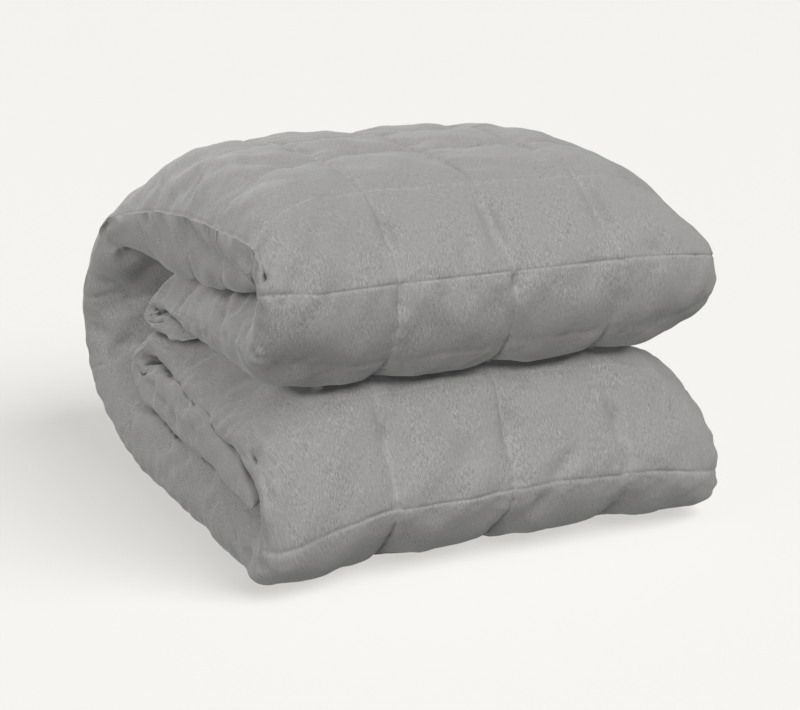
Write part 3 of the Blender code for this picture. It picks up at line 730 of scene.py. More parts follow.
@dataclass(frozen=True)
class BrushedMarl:
    """Brushed cotton jersey in grey marl, knitted and napped.

    Pale and dark fibres are mixed before spinning, so the eye gets fine streaks
    along the cloth, a dull nap and a faint glow where it turns away.
    """

    name: str = "brushed_grey_marl_cotton"
    dark: str = "6D6C6A"
    pale: str = "807F7D"
    # colour of the painted shade between layers and by the floor
    painted_shade: str = "1A1A19"
    roughness: float = 0.92
    sheen: float = 0.25
    sheen_roughness: float = 0.6
    gloss: float = 0.25
    contrast: float = 0.068
    # how much the painted highlight along the seams lightens the marl
    seam_highlight_lift: float = 0.05
    fibre_size: Pair = (1.0, 3.8)
    patch_size: Pair = (26.0, 40.0)
    fuzz_size: Pair = (0.8, 1.1)
    fuzz_share: float = 0.35
    painted_shade_from: float = 0.05
    painted_shade_to: float = 0.5
    painted_shade_most: float = 0.98
    nap_strength: float = 0.35
    nap_height: float = 0.5 * MM
    uv_scale: float = 3.0

    def material(self) -> bpy.types.Material:
        """Build the material.

        Returns:
            The new material, which reads the piece's own UV map.
        """
        made = bpy.data.materials.new(self.name)
        made.use_nodes = True
        tree = made.node_tree
        shader = tree.nodes["Principled BSDF"]
        shader.inputs["Roughness"].default_value = self.roughness
        shader.inputs["Sheen Weight"].default_value = self.sheen
        shader.inputs["Sheen Roughness"].default_value = self.sheen_roughness
        shader.inputs["Specular IOR Level"].default_value = self.gloss
        place = add_node(tree, "ShaderNodeUVMap", {"uv_map": "cloth"}, {})
        # fibres lie along the path; real ones are finer, and these are as coarse as shows
        fibres = self._noise(tree, place, self.fibre_size, {"Detail": 4.0, "Distortion": 0.6})
        # the nap is brushed up in patches a few fingers wide, where the fibres show more
        patches = self._noise(tree, place, self.patch_size, {"Detail": 2.0})
        fuzz = self._noise(tree, place, self.fuzz_size, {"Detail": 2.0})
        brushed = add_node(
            tree,
            "ShaderNodeMapRange",
            {"From Min": 0.35, "From Max": 0.65, "To Min": 0.45, "To Max": 1.0},
            {"Value": patches.outputs["Fac"]},
        )
        mixed = add_node(
            tree,
            "ShaderNodeMix",
            {0: self.fuzz_share},
            {2: fibres.outputs["Fac"], 3: fuzz.outputs["Fac"]},
        )
        centred = add_node(
            tree, "ShaderNodeMath", {"operation": "SUBTRACT", 1: 0.5}, {0: mixed.outputs[0]}
        )
        shade = add_node(
            tree,
            "ShaderNodeMath",
            {"operation": "MULTIPLY_ADD", 2: 0.5},
            {0: centred.outputs[0], 1: brushed.outputs["Result"]},
        )
        # painted highlight: a pale line is added to the marl along every seam
        seam_highlight = add_node(tree, "ShaderNodeAttribute", {"attribute_name": "seam_highlight"}, {})
        lighter = add_node(
            tree,
            "ShaderNodeMath",
            {"operation": "MULTIPLY_ADD", 1: self.seam_highlight_lift},
            {0: seam_highlight.outputs["Fac"], 2: shade.outputs[0]},
        )
        spread = add_node(
            tree,
            "ShaderNodeMapRange",
            {"From Min": 0.5 - self.contrast, "From Max": 0.5 + self.contrast, "clamp": False},
            {"Value": lighter.outputs[0]},
        )
        marl = add_node(
            tree,
            "ShaderNodeMix",
            {
                "data_type": "RGBA",
                6: linear(self.dark),
                7: linear(self.pale),
                "clamp_factor": False,
            },
            {0: spread.outputs["Result"]},
        )
        # painted shade: the colour is darkened towards near black where other layers or the floor
        # lie close
        painted_shade = add_node(tree, "ShaderNodeAttribute", {"attribute_name": "painted_shade"}, {})
        pressed = add_node(
            tree,
            "ShaderNodeMapRange",
            {
                "From Min": self.painted_shade_from,
                "From Max": self.painted_shade_to,
                "To Max": self.painted_shade_most,
                "interpolation_type": "SMOOTHSTEP",
            },
            {"Value": painted_shade.outputs["Fac"]},
        )
        folded = add_node(
            tree,
            "ShaderNodeMix",
            {"data_type": "RGBA", 7: linear(self.painted_shade)},
            {0: pressed.outputs["Result"], 6: marl.outputs[2]},
        )
        tree.links.new(folded.outputs[2], shader.inputs["Base Color"])
        nap = add_node(
            tree,
            "ShaderNodeBump",
            {"Strength": self.nap_strength, "Distance": self.nap_height},
            {"Height": mixed.outputs[0]},
        )
        tree.links.new(nap.outputs["Normal"], shader.inputs["Normal"])
        return made

    def _noise(
        self,
        tree: bpy.types.NodeTree,
        place: bpy.types.Node,
        size: Pair,
        settings: dict[str, Any],
    ) -> bpy.types.Node:
        """Add a flat noise of a given grain.

        Args:
            tree: The material's nodes.
            place: The node that gives the place on the cloth.
            size: The grain's size aside and ahead, in mm.
            settings: The noise's other settings.

        Returns:
            The noise node.
        """
        scale = tuple(self.uv_scale / (s * MM) for s in size)
        stretched = add_node(
            tree, "ShaderNodeMapping", {"Scale": (*scale, 1.0)}, {"Vector": place.outputs["UV"]}
        )
        return add_node(
            tree,
            "ShaderNodeTexNoise",
            {"noise_dimensions": "2D", "Scale": 1.0, "Roughness": 0.6, **settings},
            {"Vector": stretched.outputs["Vector"]},
        )


@dataclass(frozen=True)
class Ripples:
    """A family of small waves that handling leaves in cloth.

    Args:
        seed: Starts the family's own fixed draw.
        crest: Shortest and longest distance between crests, in mm.
        run: The same along the crests, in mm.
        height: How far the waves rise, in mm.
        count: How many waves are mixed.
    """

    seed: int
    crest: Pair
    run: Pair
    height: float
    count: int = 14

    def at(self, aside: np.ndarray, ahead: np.ndarray) -> np.ndarray:
        """Heights of the mixed waves.

        Args:
            aside: Distance across the crests, in metres.
            ahead: Distance along the crests, in metres.

        Returns:
            Heights in metres.
        """
        draw = np.random.default_rng(self.seed)
        total = np.zeros(np.broadcast_shapes(aside.shape, ahead.shape))
        for _ in range(self.count):
            crest = draw.uniform(*self.crest) * MM
            run = draw.uniform(*self.run) * MM * draw.choice((-1, 1))
            turn = draw.uniform(0, 2 * math.pi)
            total += np.sin(2 * math.pi * (aside / crest + ahead / run) + turn)
        return total * self.height * MM * math.sqrt(2 / self.count)


ROLLING = Ripples(seed=11, crest=(42, 95), run=(48, 110), height=0.6)
HANDLING = Ripples(seed=23, crest=(16, 34), run=(20, 50), height=0.16)
SEAM_PUCKERS = Ripples(seed=37, crest=(8, 20), run=(45, 120), height=0.32)
HEM_PUCKERS = Ripples(seed=41, crest=(14, 34), run=(40, 90), height=0.55)


@dataclass
class Needlework:
    """What sewing and handling press into the cloth: seams, hems and creases.

    Everything is measured on the two faces' own grids of points, so a seam is as
    wide round a fold as it is on a flat stretch.
    """

    layer: FoldedLayer
    rows: np.ndarray
    columns: np.ndarray
    stitch_depth: float = 0.85 * MM
    stitch_width: float = 1.1 * MM
    # sets how wide the painted highlight along the seams is
    seam_highlight_core: float = 1.4
    unevenness: float = 0.5
    short_tug: float = 9.0 * MM
    long_tug: float = 23.0 * MM
    lengthwise_share: float = 0.8
    hem_ridge: float = 0.3 * MM
    hem_groove: float = 0.9 * MM
    hem_width: float = 2.4 * MM
    hem_sharpness: float = 0.35
    pucker_reach: float = 8.0 * MM
    hem_pucker_reach: float = 16.0 * MM
    face_shift: float = 3.7
    end_fade: float = 0.1
    crease_step: float = 2.0 * MM
    crease_reach: float = 2.6
    crease_margin: int = 40
    taper: float = 0.3

    @staticmethod
    def normals(grid: np.ndarray, face: Face) -> np.ndarray:
        """Outward directions at every point of a face's grid."""
        along = np.gradient(grid, axis=0)
        across = np.gradient(grid, axis=1)
        straight = np.cross(along, across) if face is Face.INNER else np.cross(across, along)
        return straight / np.maximum(np.linalg.norm(straight, axis=2, keepdims=True), 1e-12)

    def press(self, grid: np.ndarray, face: Face) -> np.ndarray:
        """Press all the needlework into one face.

        Args:
            grid: The face's points, rows by columns.
            face: Which face.

        Returns:
            The pressed points.
        """
        depth = self._seams(grid, face) + self._hems(grid) + self._creases(grid, face)
        depth += self._ripples(grid, face)
        inside = np.minimum(self.rows - self.rows[0], self.rows[-1] - self.rows) / self.end_fade
        depth = depth * np.clip(inside, 0, 1)[:, None]
        return grid - self.normals(grid, face) * depth[..., None]

    def from_seams(self, grid: np.ndarray, face: Face) -> tuple[np.ndarray, np.ndarray]:
        """Distances over the cloth to the nearest seam of each kind.

        Args:
            grid: The face's points, rows by columns.
            face: Which face.

        Returns:
            Two grids in metres: to a seam across the path, and to one along it.
        """
        row_place, column_place = self.layer.pocket_places(self.rows, self.columns, face)
        per_row = np.linalg.norm(np.gradient(grid, self.rows, axis=0), axis=2)
        per_column = np.linalg.norm(np.gradient(grid, self.columns, axis=1), axis=2)
        nearest = np.clip(np.round(column_place), -self.layer.last_seam, self.layer.last_seam)
        return (
            np.abs(row_place - np.round(row_place)) * per_row,
            np.abs(column_place - nearest) * per_column,
        )

    def seam_highlight_share(self, grid: np.ndarray, face: Face) -> np.ndarray:
        """How much painted highlight each point gets, from 0 to 1: a pale line along the seams."""
        from_row, from_column = self.from_seams(grid, face)
        near = np.minimum(from_row, from_column)
        return np.clip(self.seam_highlight_core - near / self.stitch_width, 0, 1)

    @staticmethod
    def lengths(grid: np.ndarray) -> tuple[np.ndarray, np.ndarray]:
        """Distances over the cloth along the path and across it, from the first point."""
        along = np.linalg.norm(np.diff(grid, axis=0), axis=2)
        across = np.linalg.norm(np.diff(grid, axis=1), axis=2)
        return (
            np.pad(np.cumsum(along, axis=0), ((1, 0), (0, 0))),
            np.pad(np.cumsum(across, axis=1), ((0, 0), (1, 0))),
        )

    def _ripples(self, grid: np.ndarray, face: Face) -> np.ndarray:
        """Small waves all over, puckers by the seams and gathers by the hems."""
        along, across = self.lengths(grid)
        apart = face.value * self.face_shift
        middle = along[:, along.shape[1] // 2, None] + apart
        from_row, from_column = self.from_seams(grid, face)
        hem = np.minimum(across, across[:, -1:] - across)
        return (
            ROLLING.at(across + apart, middle)
            + HANDLING.at(across + apart, middle)
            + SEAM_PUCKERS.at(across + apart, middle) * np.exp(-from_row / self.pucker_reach)
            + SEAM_PUCKERS.at(middle, across + apart) * np.exp(-from_column / self.pucker_reach)
            + HEM_PUCKERS.at(middle, across + apart) * np.exp(-hem / self.hem_pucker_reach)
        )

    def _seams(self, grid: np.ndarray, face: Face) -> np.ndarray:
        """The narrow trough that the stitches pull along every seam."""
        from_row, from_column = self.from_seams(grid, face)
        along, across = self.lengths(grid)
        trough = self._tug(across, face) * np.exp(-((from_row / self.stitch_width) ** 2))
        beside = np.exp(-((from_column / self.stitch_width) ** 2))
        beside = self.lengthwise_share * self._tug(along, face) * beside
        return self.stitch_depth * np.maximum(trough, beside)

    def _tug(self, run: np.ndarray, face: Face) -> np.ndarray:
        """How unevenly the stitches pull along their run, around 1."""
        waves = self.unevenness * np.sin(run / self.short_tug)
        return 1 + waves * np.sin(run / self.long_tug + face.value)

    def _hems(self, grid: np.ndarray) -> np.ndarray:
        """A raised sewn edge with a stitched trough beside it, at both ends."""
        steps = np.linalg.norm(np.diff(grid, axis=1), axis=2)
        from_left = np.pad(np.cumsum(steps, axis=1), ((0, 0), (1, 0)))
        away = np.minimum(from_left, from_left[:, -1:] - from_left)
        blur = self.hem_sharpness * self.hem_width
        ridge = np.exp(-((away / blur) ** 2))
        groove = np.exp(-(((away - self.hem_width) / blur) ** 2))
        return self.hem_groove * groove - self.hem_ridge * ridge

    def _creases(self, grid: np.ndarray, face: Face) -> np.ndarray:
        """The troughs and ridges of the crease table."""
        depth = np.zeros(grid.shape[:2])
        for crease in CREASES:
            if crease.face is face:
                self._crease(grid, crease, depth)
        return depth

    def _crease(self, grid: np.ndarray, crease: Crease, depth: np.ndarray) -> None:
        """Add one crease to a face's depths.

        Args:
            grid: The face's points, rows by columns.
            crease: The crease.
            depth: The depths so far, changed in place.
        """
        path = np.array(crease.path, float)
        reach = self.crease_reach * crease.width * MM
        row_of = np.interp(path[:, 0], self.rows, np.arange(len(self.rows)))
        column_of = np.interp(path[:, 1], self.columns, np.arange(len(self.columns)))
        places = grid[np.round(row_of).astype(int), np.round(column_of).astype(int)]
        size = float(np.linalg.norm(np.diff(places, axis=0), axis=1).sum())
        count = max(int(size / self.crease_step), 8)
        knots = np.linspace(0, 1, len(path))
        steps = np.linspace(0, 1, count)
        fine = smooth_through(knots, np.stack([row_of, column_of], axis=1), steps)
        low = np.floor(fine).astype(int)
        low[:, 0] = np.clip(low[:, 0], 0, len(self.rows) - 2)
        low[:, 1] = np.clip(low[:, 1], 0, len(self.columns) - 2)
        part = np.clip(fine - low, 0, 1)
        u, v = part[:, :1], part[:, 1:]
        i, j = low[:, 0], low[:, 1]
        points = (
            grid[i, j] * (1 - u) * (1 - v)
            + grid[i + 1, j] * u * (1 - v)
            + grid[i, j + 1] * (1 - u) * v
            + grid[i + 1, j + 1] * u * v
        )
        fade = np.clip(np.minimum(steps, 1 - steps) / self.taper, 0, 1)
        fade = fade * fade * (3 - 2 * fade)
        margin = self.crease_margin
        top, bottom = max(i.min() - margin, 0), min(i.max() + margin, len(self.rows))
        left, right = max(j.min() - margin, 0), min(j.max() + margin, len(self.columns))
        patch = grid[top:bottom, left:right].reshape(-1, 3)
        near = np.full(len(patch), reach)
        strength = np.zeros(len(patch))
        for point, amount in zip(points, fade):
            away = np.linalg.norm(patch - point, axis=1)
            value = amount * np.exp(-((away / (crease.width * MM)) ** 2))
            strength = np.maximum(strength, np.where(away < near, value, 0.0))
        depth[top:bottom, left:right] += (
            strength.reshape(bottom - top, right - left) * crease.depth * MM
        )


@dataclass
class PocketSwell:
    """A short cloth simulation that fills the pockets between their fixed seams.

    It runs on a coarse copy of the sleeve.  The cloth is cut a little larger than
    its pockets, so it swells and wrinkles by the seams, and the moves are then
    laid over the fine mesh.
    """

    layer: FoldedLayer
    lines: int = 16
    pressure: float = 4.0
    slack: float = 0.015
    share: float = 0.5
    frames: int = 20
    quality: int = 4
    reach: float = 5.0 * MM
    clearance: float = 0.4 * MM
    rows: np.ndarray = field(init=False)
    columns: np.ndarray = field(init=False)

    def __post_init__(self) -> None:
        """Settle the places of the coarse lines."""
        first, last, end = self.layer.knots[0], self.layer.knots[-1], self.layer.end_column
        self.rows = np.linspace(first, last, int(last - first) * self.lines + 1)
        self.columns = np.linspace(-end, end, int(2 * end) * self.lines + 1)

    def moves(self) -> dict[Face, np.ndarray]:
        """Run the simulation.

        Returns:
            How far each point of the two coarse faces moves.
        """
        start = self._ring({f: self.layer.face_points(self.rows, self.columns, f) for f in Face})
        count_rows, count = start.shape[:2]
        i, j = np.mgrid[0 : count_rows - 1, 0:count]
        after = (j + 1) % count
        quads = np.stack(
            [i * count + j, i * count + after, (i + 1) * count + after, (i + 1) * count + j],
            axis=-1,
        ).reshape(-1, 4)
        mesh = bpy.data.meshes.new("coarse_cloth")
        mesh.from_pydata(start.reshape(-1, 3).tolist(), [], quads.tolist())
        coarse = bpy.data.objects.new("coarse_cloth", mesh)
        bpy.context.scene.collection.objects.link(coarse)
        self._pin(coarse)
        outward = np.empty(start.size, np.float32)
        mesh.vertex_normals.foreach_get("vector", outward)
        settled = self._settle(coarse)
        moved = self._limit(start.reshape(-1, 3), settled, outward.reshape(-1, 3), quads)
        bpy.data.objects.remove(coarse)
        bpy.data.meshes.remove(mesh)
        return self._faces(moved.reshape(start.shape))

    @staticmethod
    def _ring(faces: dict[Face, np.ndarray]) -> np.ndarray:
        """Join the two faces' grids in closed rings without doubles."""
        return np.concatenate([faces[Face.OUTER], faces[Face.INNER][:, -2:0:-1]], axis=1)

    def _faces(self, ring: np.ndarray) -> dict[Face, np.ndarray]:
        """Take rings apart into the two faces' grids."""
        count = len(self.columns)
        back = np.concatenate([ring[:, count - 1 :], ring[:, :1]], axis=1)
        return {Face.OUTER: ring[:, :count], Face.INNER: back[:, ::-1]}

    def _pin(self, coarse: bpy.types.Object) -> None:
        """Hold the cloth along its seams, its hems and its two loose ends."""
        held = {}
        for face in Face:
            row_place, column_place = self.layer.pocket_places(self.rows, self.columns, face)
            near = 0.5 / self.lines
            from_row = np.abs(row_place - np.round(row_place))
            from_column = np.abs(column_place - np.round(column_place))
            held[face] = (from_row <= near) | (from_column <= near)
            held[face][:1] = held[face][-1:] = True
        group = coarse.vertex_groups.new(name="held")
        group.add(np.flatnonzero(self._ring(held).reshape(-1)).tolist(), 1.0, "REPLACE")

    def _settle(self, coarse: bpy.types.Object) -> np.ndarray:
        """Step the simulation to its last frame.

        Args:
            coarse: The coarse sleeve.

        Returns:
            Its settled points.
        """
        cloth = coarse.modifiers.new("cloth", "CLOTH")
        cloth.settings.quality = self.quality
        cloth.settings.use_pressure = True
        cloth.settings.uniform_pressure_force = self.pressure
        cloth.settings.shrink_min = -self.slack
        cloth.settings.vertex_group_mass = "held"
        cloth.settings.effector_weights.gravity = 0.0
        cloth.collision_settings.use_collision = False
        cloth.collision_settings.use_self_collision = False
        cloth.point_cache.frame_end = self.frames
        scene = bpy.context.scene
        for frame in range(1, self.frames + 1):
            scene.frame_set(frame)
        settled = coarse.evaluated_get(bpy.context.evaluated_depsgraph_get())
        points = np.empty(len(coarse.data.vertices) * 3, np.float32)
        settled.data.vertices.foreach_get("co", points)
        scene.frame_set(1)
        return points.reshape(-1, 3).astype(float)

    def _limit(
        self, start: np.ndarray, settled: np.ndarray, outward: np.ndarray, quads: np.ndarray
    ) -> np.ndarray:
        """Cap the moves, so that swelling doesn't push one layer further into another.

        Args:
            start: The points before.
            settled: The points after.
            outward: The outward directions before.
            quads: The coarse mesh's faces.

        Returns:
            The capped moves.
        """
        tree = BVHTree.FromPolygons(start.tolist(), quads.tolist())
        room = np.full(len(start), self.reach)
        for k, (point, way) in enumerate(zip(start, outward)):
            hit = tree.ray_cast(Vector(point + way * self.clearance), Vector(way), 2 * self.reach)
            if hit[0] is not None:
                room[k] = max(hit[3] / 2 - self.clearance, 0.0)
        move = (settled - start) * self.share
        size = np.linalg.norm(move, axis=1, keepdims=True)
        move = move * np.minimum(1, self.reach / np.maximum(size, 1e-9))
        rise = (move * outward).sum(axis=1)
        move -= outward * np.maximum(rise - room, 0)[:, None]
        most, mean = rise.max() / MM, rise.mean() / MM
        LOG.info("pockets swell by up to %.1f mm, %.1f mm on average", most, mean)
        return move

    def at(
        self, moves: dict[Face, np.ndarray], face: Face, rows: np.ndarray, columns: np.ndarray
    ) -> np.ndarray:
        """Read the moves at the lines of the fine mesh.

        Args:
            moves: The coarse moves.
            face: Which face.
            rows: Fine rows.
            columns: Fine columns.

        Returns:
            Moves, rows by columns by x, y and z.
        """
        coarse = moves[face]
        part = smooth_through(self.rows, coarse.reshape(len(self.rows), -1), rows)
        part = part.reshape(len(rows), len(self.columns), 3).transpose(1, 0, 2)
        part = smooth_through(self.columns, part.reshape(len(self.columns), -1), columns)
        return part.reshape(len(columns), len(rows), 3).transpose(1, 0, 2)


@dataclass(frozen=True)
class FoldShade:
    """How closely other cloth and the floor close in each place, for painted shade.

    The cloth's colour is darkened there: painted shade in the creases, between
    the layers and by the floor.

    Args:
        reach: How far off another layer still counts.
        lift: How far off the cloth the search starts.
        tilt: How far the outer directions of the search lean, in degrees.
        ways: How many outer directions there are.
        askew: A direction that the cloth hardly ever faces, to start the ring of ways from.
    """

    reach: float = 14.0 * MM
    lift: float = 0.8 * MM
    tilt: float = 50.0
    ways: int = 6
    askew: Triple = (0.31, 0.53, 0.79)

    def depths(self, faces: dict[Face, np.ndarray]) -> dict[Face, np.ndarray]:
        """Find the depth of every point.

        Args:
            faces: The two faces' grids of points.

        Returns:
            Grids of values from 0 for open cloth to 1 for cloth that is shut in.
        """
        points, quads, count = [], [], 0
        for grid in faces.values():
            points += grid.reshape(-1, 3).tolist()
            numbers = np.arange(grid[..., 0].size).reshape(grid.shape[:2]) + count
            corners = (numbers[:-1, :-1], numbers[1:, :-1], numbers[1:, 1:], numbers[:-1, 1:])
            quads += np.stack(corners, axis=-1).reshape(-1, 4).tolist()
            count += numbers.size
        tree = BVHTree.FromPolygons(points, quads)
        return {face: self._search(grid, face, tree) for face, grid in faces.items()}

    def _search(self, grid: np.ndarray, face: Face, tree: BVHTree) -> np.ndarray:
        """Look outwards from every second line of one face.

        Args:
            grid: The face's points.
            face: Which face.
            tree: Both faces, ready for searches.

        Returns:
            The depth at every point.
        """
        rows, columns = (np.unique(np.append(np.arange(0, n, 2), n - 1)) for n in grid.shape[:2])
        straight = Needlework.normals(grid, face)[np.ix_(rows, columns)].reshape(-1, 3)
        start = grid[np.ix_(rows, columns)].reshape(-1, 3) + straight * self.lift
        aside = np.cross(straight, self.askew)
        aside /= np.linalg.norm(aside, axis=1, keepdims=True)
        ahead = np.cross(straight, aside)
        lean = math.radians(self.tilt)
        found = np.zeros(len(start))
        for k in range(self.ways + 1):
            turn = math.tau * k / self.ways
            level = math.cos(turn) * aside + math.sin(turn) * ahead
            last = k == self.ways
            way = straight if last else math.cos(lean) * straight + math.sin(lean) * level
            for at, (here, there) in enumerate(zip(start.tolist(), way.tolist())):
                far = tree.ray_cast(here, there, self.reach)[3]
                if there[2] < 0:
                    far = min(far or self.reach, -here[2] / there[2])
                found[at] += max(1 - far / self.reach, 0.0) if far is not None else 0.0
        depth = (found / (self.ways + 1)).reshape(len(rows), len(columns))
        part = smooth_through(rows.astype(float), depth, np.arange(grid.shape[0], dtype=float))
        every = np.arange(grid.shape[1], dtype=float)
        return np.clip(smooth_through(columns.astype(float), part.T, every).T, 0, 1)


@dataclass
class Blanket:
    """The blanket's visible cloth: two faces of one quilted layer, sewn together all round."""

    layer: FoldedLayer = field(default_factory=FoldedLayer)
    cloth: BrushedMarl = field(default_factory=BrushedMarl)
    shade: FoldShade = field(default_factory=FoldShade)
    flat_place: Pair = (0.32, 0.98)
    piece: bpy.types.Object | None = None
    rows: np.ndarray = field(init=False)
    columns: np.ndarray = field(init=False)

    def __post_init__(self) -> None:
        """Settle the places of the mesh lines."""
        self.rows = self.layer.row_lines()
        self.columns = self.layer.column_lines()

    def _ring(self, outer: np.ndarray, inner: np.ndarray) -> np.ndarray:
        """Join two faces' grids into closed rings, out along one and back along the other."""
        return np.concatenate([outer, inner[:, -2::-1]], axis=1)

    def build(self) -> bpy.types.Object:
        """Lay the sleeve of cloth along the folded path.

        Returns:
            The piece, closed, with its own UV map in metres of cloth.
        """
        needle = Needlework(self.layer, self.rows, self.columns)
        swell = PocketSwell(self.layer)
        moves = swell.moves()
        faces = {}
        for face in Face:
            grid = self.layer.face_points(self.rows, self.columns, face)
            grid = grid + swell.at(moves, face, self.rows, self.columns)
            faces[face] = needle.press(grid, face)
        edge = (faces[Face.OUTER][:, [0, -1]] + faces[Face.INNER][:, [0, -1]]) / 2
        for face in Face:
            faces[face][:, [0, -1]] = edge
            np.maximum(faces[face][..., 2], 0.0, out=faces[face][..., 2])
        points = self._ring(faces[Face.OUTER], faces[Face.INNER])
        count_rows, count_ring = points.shape[:2]
        bpy.ops.object.select_all(action="DESELECT")
        bpy.ops.mesh.primitive_grid_add(
            x_subdivisions=count_ring - 1, y_subdivisions=count_rows - 1, size=1.0
        )
        self.piece = bpy.context.object
        self.piece.name = self.piece.data.name = "blanket_cloth"
        mesh = self.piece.data
        mesh.vertices.foreach_set("co", points.reshape(-1))
        # painted highlight: a pale line along the seams
        self._paint("seam_highlight", {f: needle.seam_highlight_share(grid, f) for f, grid in faces.items()})
        # painted shade where other layers or the floor lie close
        self._paint("painted_shade", self.shade.depths(faces))
        self._lay_uv(faces, count_ring)
        self._close()
        mesh.materials.append(self.cloth.material())
        mesh.shade_smooth()
        return self.piece

    def _paint(self, name: str, shown: dict[Face, np.ndarray]) -> None:
        """Store one value per point for the cloth's material to read."""
        layer = self.piece.data.attributes.new(name, "FLOAT", "POINT")
        ring = self._ring(*(grid[..., None] for grid in shown.values()))
        layer.data.foreach_set("value", ring.astype(np.float32).reshape(-1))

    def _lay_uv(self, faces: dict[Face, np.ndarray], count_ring: int) -> None:
        """Give every corner its place on the flat cloth, in metres over the map's scale.

        Args:
            faces: The two faces' grids of points.
            count_ring: Vertices in one row of the open sleeve.
        """
        mesh = self.piece.data
        middle = int(np.argmin(np.abs(self.columns)))
        flat = {}
        for face, grid in faces.items():
            across = np.linalg.norm(np.diff(grid, axis=1), axis=2)
            across = np.pad(np.cumsum(across, axis=1), ((0, 0), (1, 0)))
            along = np.linalg.norm(np.diff(grid, axis=0), axis=2)
            along = np.pad(np.cumsum(along, axis=0), ((1, 0), (0, 0)))
            across = across - across[:, middle : middle + 1] + self.flat_place[face.value]
            flat[face] = np.stack([across, along], axis=-1)
        ring_outer, ring_inner = flat[Face.OUTER], flat[Face.INNER][:, ::-1]
        count = len(self.columns)
        layer = mesh.uv_layers[0] if mesh.uv_layers else mesh.uv_layers.new()
        layer.name = "cloth"
        corners = np.empty(len(mesh.loops), np.int32)
        mesh.loops.foreach_get("vertex_index", corners)
        row, place = corners // count_ring, corners % count_ring
        starts = np.empty(len(mesh.polygons), np.int32)
        mesh.polygons.foreach_get("loop_start", starts)
        lowest = np.minimum.reduceat(place, starts)
        inner_face = np.repeat(lowest >= count - 1, 4)
        uv = np.where(
            inner_face[:, None],
            ring_inner[row, np.clip(place - (count - 1), 0, count - 1)],
            ring_outer[row, np.clip(place, 0, count - 1)],
        )
        layer.data.foreach_set("uv", (uv / self.cloth.uv_scale).astype(np.float32).reshape(-1))

    def _close(self) -> None:
        """Sew the open sleeve shut and turn its faces outwards."""
        bpy.ops.object.mode_set(mode="EDIT")
        bpy.ops.mesh.select_all(action="SELECT")
        bpy.ops.mesh.remove_doubles(threshold=0.05 * MM)
        bpy.ops.mesh.normals_make_consistent(inside=False)
        bpy.ops.object.mode_set(mode="OBJECT")

    def hand_over(self) -> None:
        """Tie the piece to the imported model."""
        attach(self.piece, "root")
        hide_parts("blanket")


@dataclass(frozen=True)
class PaleFloor:
    """A seamless sweep of matt off-white paper."""

    name: str = "matt_off_white_paper"
    colour: str = "BDBCB9"
    roughness: float = 0.95

    def material(self) -> bpy.types.Material:
        """Build the floor's plain material."""
        made = bpy.data.materials.new(self.name)
        made.use_nodes = True
        shader = made.node_tree.nodes["Principled BSDF"]
        shader.inputs["Base Color"].default_value = linear(self.colour)
        shader.inputs["Roughness"].default_value = self.roughness
        shader.inputs["Specular IOR Level"].default_value = 0.1
        return made


class Reach(Enum):
    """What a lamp lights: the cloth, or the paper under it."""

    CLOTH = "lit_cloth"
    PAPER = "lit_paper"


@dataclass(frozen=True)
class Lamp:
    """One distant soft lamp.

    Args:
        name: What it is for.
        azimuth: Where it stands round the object, in degrees from the front to the right.
        elevation: How high it stands, in degrees.
        strength: Its strength.
        spread: How wide it looks, in degrees, which sets how soft its shadow is.
        shadow: Whether it casts a shadow; a fill that reaches everywhere doesn't.
        reach: What it lights.
    """

    name: str
    azimuth: float
    elevation: float
    strength: float
    spread: float
    shadow: bool
    reach: Reach

    def hang(self, lit: bpy.types.Collection) -> None:
        """Put the lamp in the scene.

        Args:
            lit: The collection of what it lights.
        """
        light = bpy.data.lights.new(self.name, "SUN")
        light.energy = self.strength
        light.angle = math.radians(self.spread)
        light.use_shadow = self.shadow
        lamp = bpy.data.objects.new(self.name, light)
        turn, rise = math.radians(self.azimuth), math.radians(self.elevation)
        source = Vector(
            (math.sin(turn) * math.cos(rise), -math.cos(turn) * math.cos(rise), math.sin(rise))
        )
        lamp.rotation_mode = "QUATERNION"
        lamp.rotation_quaternion = source.to_track_quat("Z", "Y")
        lamp.light_linking.receiver_collection = lit
        bpy.context.scene.collection.objects.link(lamp)


LAMPS: tuple[Lamp, ...] = (
    Lamp("paper_fill", 0.0, 80.0, 3.74, 40.0, False, Reach.PAPER),
    Lamp("paper_key", 35.0, 45.0, 2.65, 46.0, True, Reach.PAPER),
    Lamp("key_left", 315.0, 14.0, 3.40, 40.0, True, Reach.CLOTH),
    Lamp("key_front", 0.0, 44.0, 1.25, 40.0, True, Reach.CLOTH),
    Lamp("key_right", 45.0, 40.0, 1.02, 40.0, True, Reach.CLOTH),
    Lamp("overhead", 0.0, 85.0, 0.50, 40.0, False, Reach.CLOTH),
    Lamp("fill_right", 45.0, 55.0, 0.38, 40.0, False, Reach.CLOTH),
    Lamp("fill_left", 315.0, 60.0, 0.60, 40.0, False, Reach.CLOTH),
    Lamp("back", 180.0, 2.0, 1.20, 40.0, True, Reach.CLOTH),
    Lamp("side_right", 95.0, 2.0, 0.55, 40.0, True, Reach.CLOTH),
)


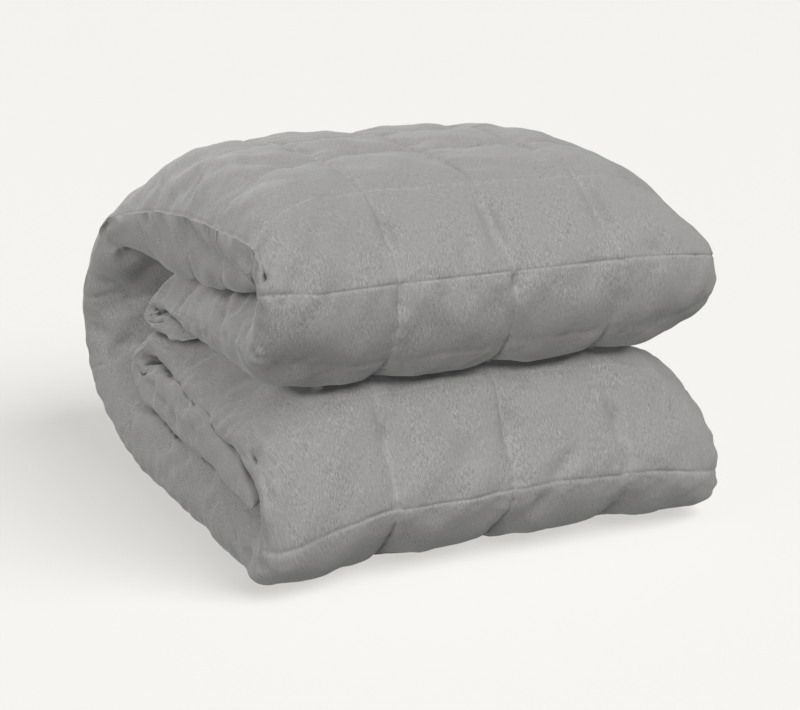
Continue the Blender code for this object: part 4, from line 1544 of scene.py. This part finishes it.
@dataclass
class Studio:
    """The floor, the light and the camera.

    Args:
        piece: The blanket that stands in it.
    """

    piece: bpy.types.Object
    paper: PaleFloor = field(default_factory=PaleFloor)
    floor_size: float = 40.0
    floor_drop: float = 0.5 * MM
    air_colour: str = "F4F3EF"
    air_glow: float = 0.04
    camera_place: Triple = (-0.6399, -1.4240, 0.5675)
    camera_turn: float = 24.5
    camera_dip: float = 16.3
    focal_pixels: float = 1865.0
    picture_width: float = 800.0

    def build(self) -> None:
        """Make the whole studio."""
        self._light(self._floor())
        self._camera()

    def _floor(self) -> bpy.types.Object:
        """Lay the floor, which isn't part of the object.

        Returns:
            The floor.
        """
        bpy.ops.object.select_all(action="DESELECT")
        bpy.ops.mesh.primitive_plane_add(size=self.floor_size, location=(0, 0, -self.floor_drop))
        floor = bpy.context.object
        floor.name = "floor"
        floor.data.materials.append(self.paper.material())
        floor.visible_diffuse = False
        return floor

    def _light(self, floor: bpy.types.Object) -> None:
        """Even pale air all round, and the lamps.

        Args:
            floor: The floor, which has lamps of its own.
        """
        air = bpy.data.worlds.new("pale_air")
        air.use_nodes = True
        tree = air.node_tree
        glow = tree.nodes["Background"]
        glow.inputs["Color"].default_value = linear(self.air_colour)
        glow.inputs["Strength"].default_value = self.air_glow
        seen = add_node(
            tree, "ShaderNodeBackground", {"Color": linear(self.air_colour), "Strength": 1.0}, {}
        )
        path = add_node(tree, "ShaderNodeLightPath", {}, {})
        mixed = add_node(
            tree,
            "ShaderNodeMixShader",
            {},
            {0: path.outputs["Is Camera Ray"], 1: glow.outputs[0], 2: seen.outputs[0]},
        )
        tree.links.new(mixed.outputs[0], tree.nodes["World Output"].inputs["Surface"])
        bpy.context.scene.world = air
        lit = {}
        for reach, subject in ((Reach.CLOTH, self.piece), (Reach.PAPER, floor)):
            lit[reach] = bpy.data.collections.new(reach.value)
            lit[reach].objects.link(subject)
        for lamp in LAMPS:
            lamp.hang(lit[lamp.reach])

    def _camera(self) -> None:
        """Set up the camera at the front left, a little above."""
        lens = bpy.data.cameras.new("camera")
        lens.sensor_fit = "HORIZONTAL"
        lens.sensor_width = 36.0
        lens.lens = self.focal_pixels / self.picture_width * lens.sensor_width
        lens.clip_end = 100.0
        camera = bpy.data.objects.new("camera", lens)
        turn, dip = math.radians(self.camera_turn), math.radians(self.camera_dip)
        ahead = Vector(
            (math.sin(turn) * math.cos(dip), math.cos(turn) * math.cos(dip), -math.sin(dip))
        )
        aside = Vector((math.cos(turn), -math.sin(turn), 0.0))
        above = aside.cross(ahead)
        camera.matrix_world = Matrix.Translation(self.camera_place) @ Matrix(
            (
                (aside.x, above.x, -ahead.x, 0.0),
                (aside.y, above.y, -ahead.y, 0.0),
                (aside.z, above.z, -ahead.z, 0.0),
                (0.0, 0.0, 0.0, 1.0),
            )
        )
        bpy.context.scene.collection.objects.link(camera)
        bpy.context.scene.camera = camera


def main() -> None:
    """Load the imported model, dress it and set it in its studio."""
    logging.basicConfig(level=logging.INFO)
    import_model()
    blanket = Blanket()
    piece = blanket.build()
    blanket.hand_over()
    LOG.info("%s: %d vertices", piece.name, len(piece.data.vertices))
    Studio(piece).build()
    bpy.context.scene.view_settings.view_transform = "Standard"


if __name__ == "__main__":
    main()
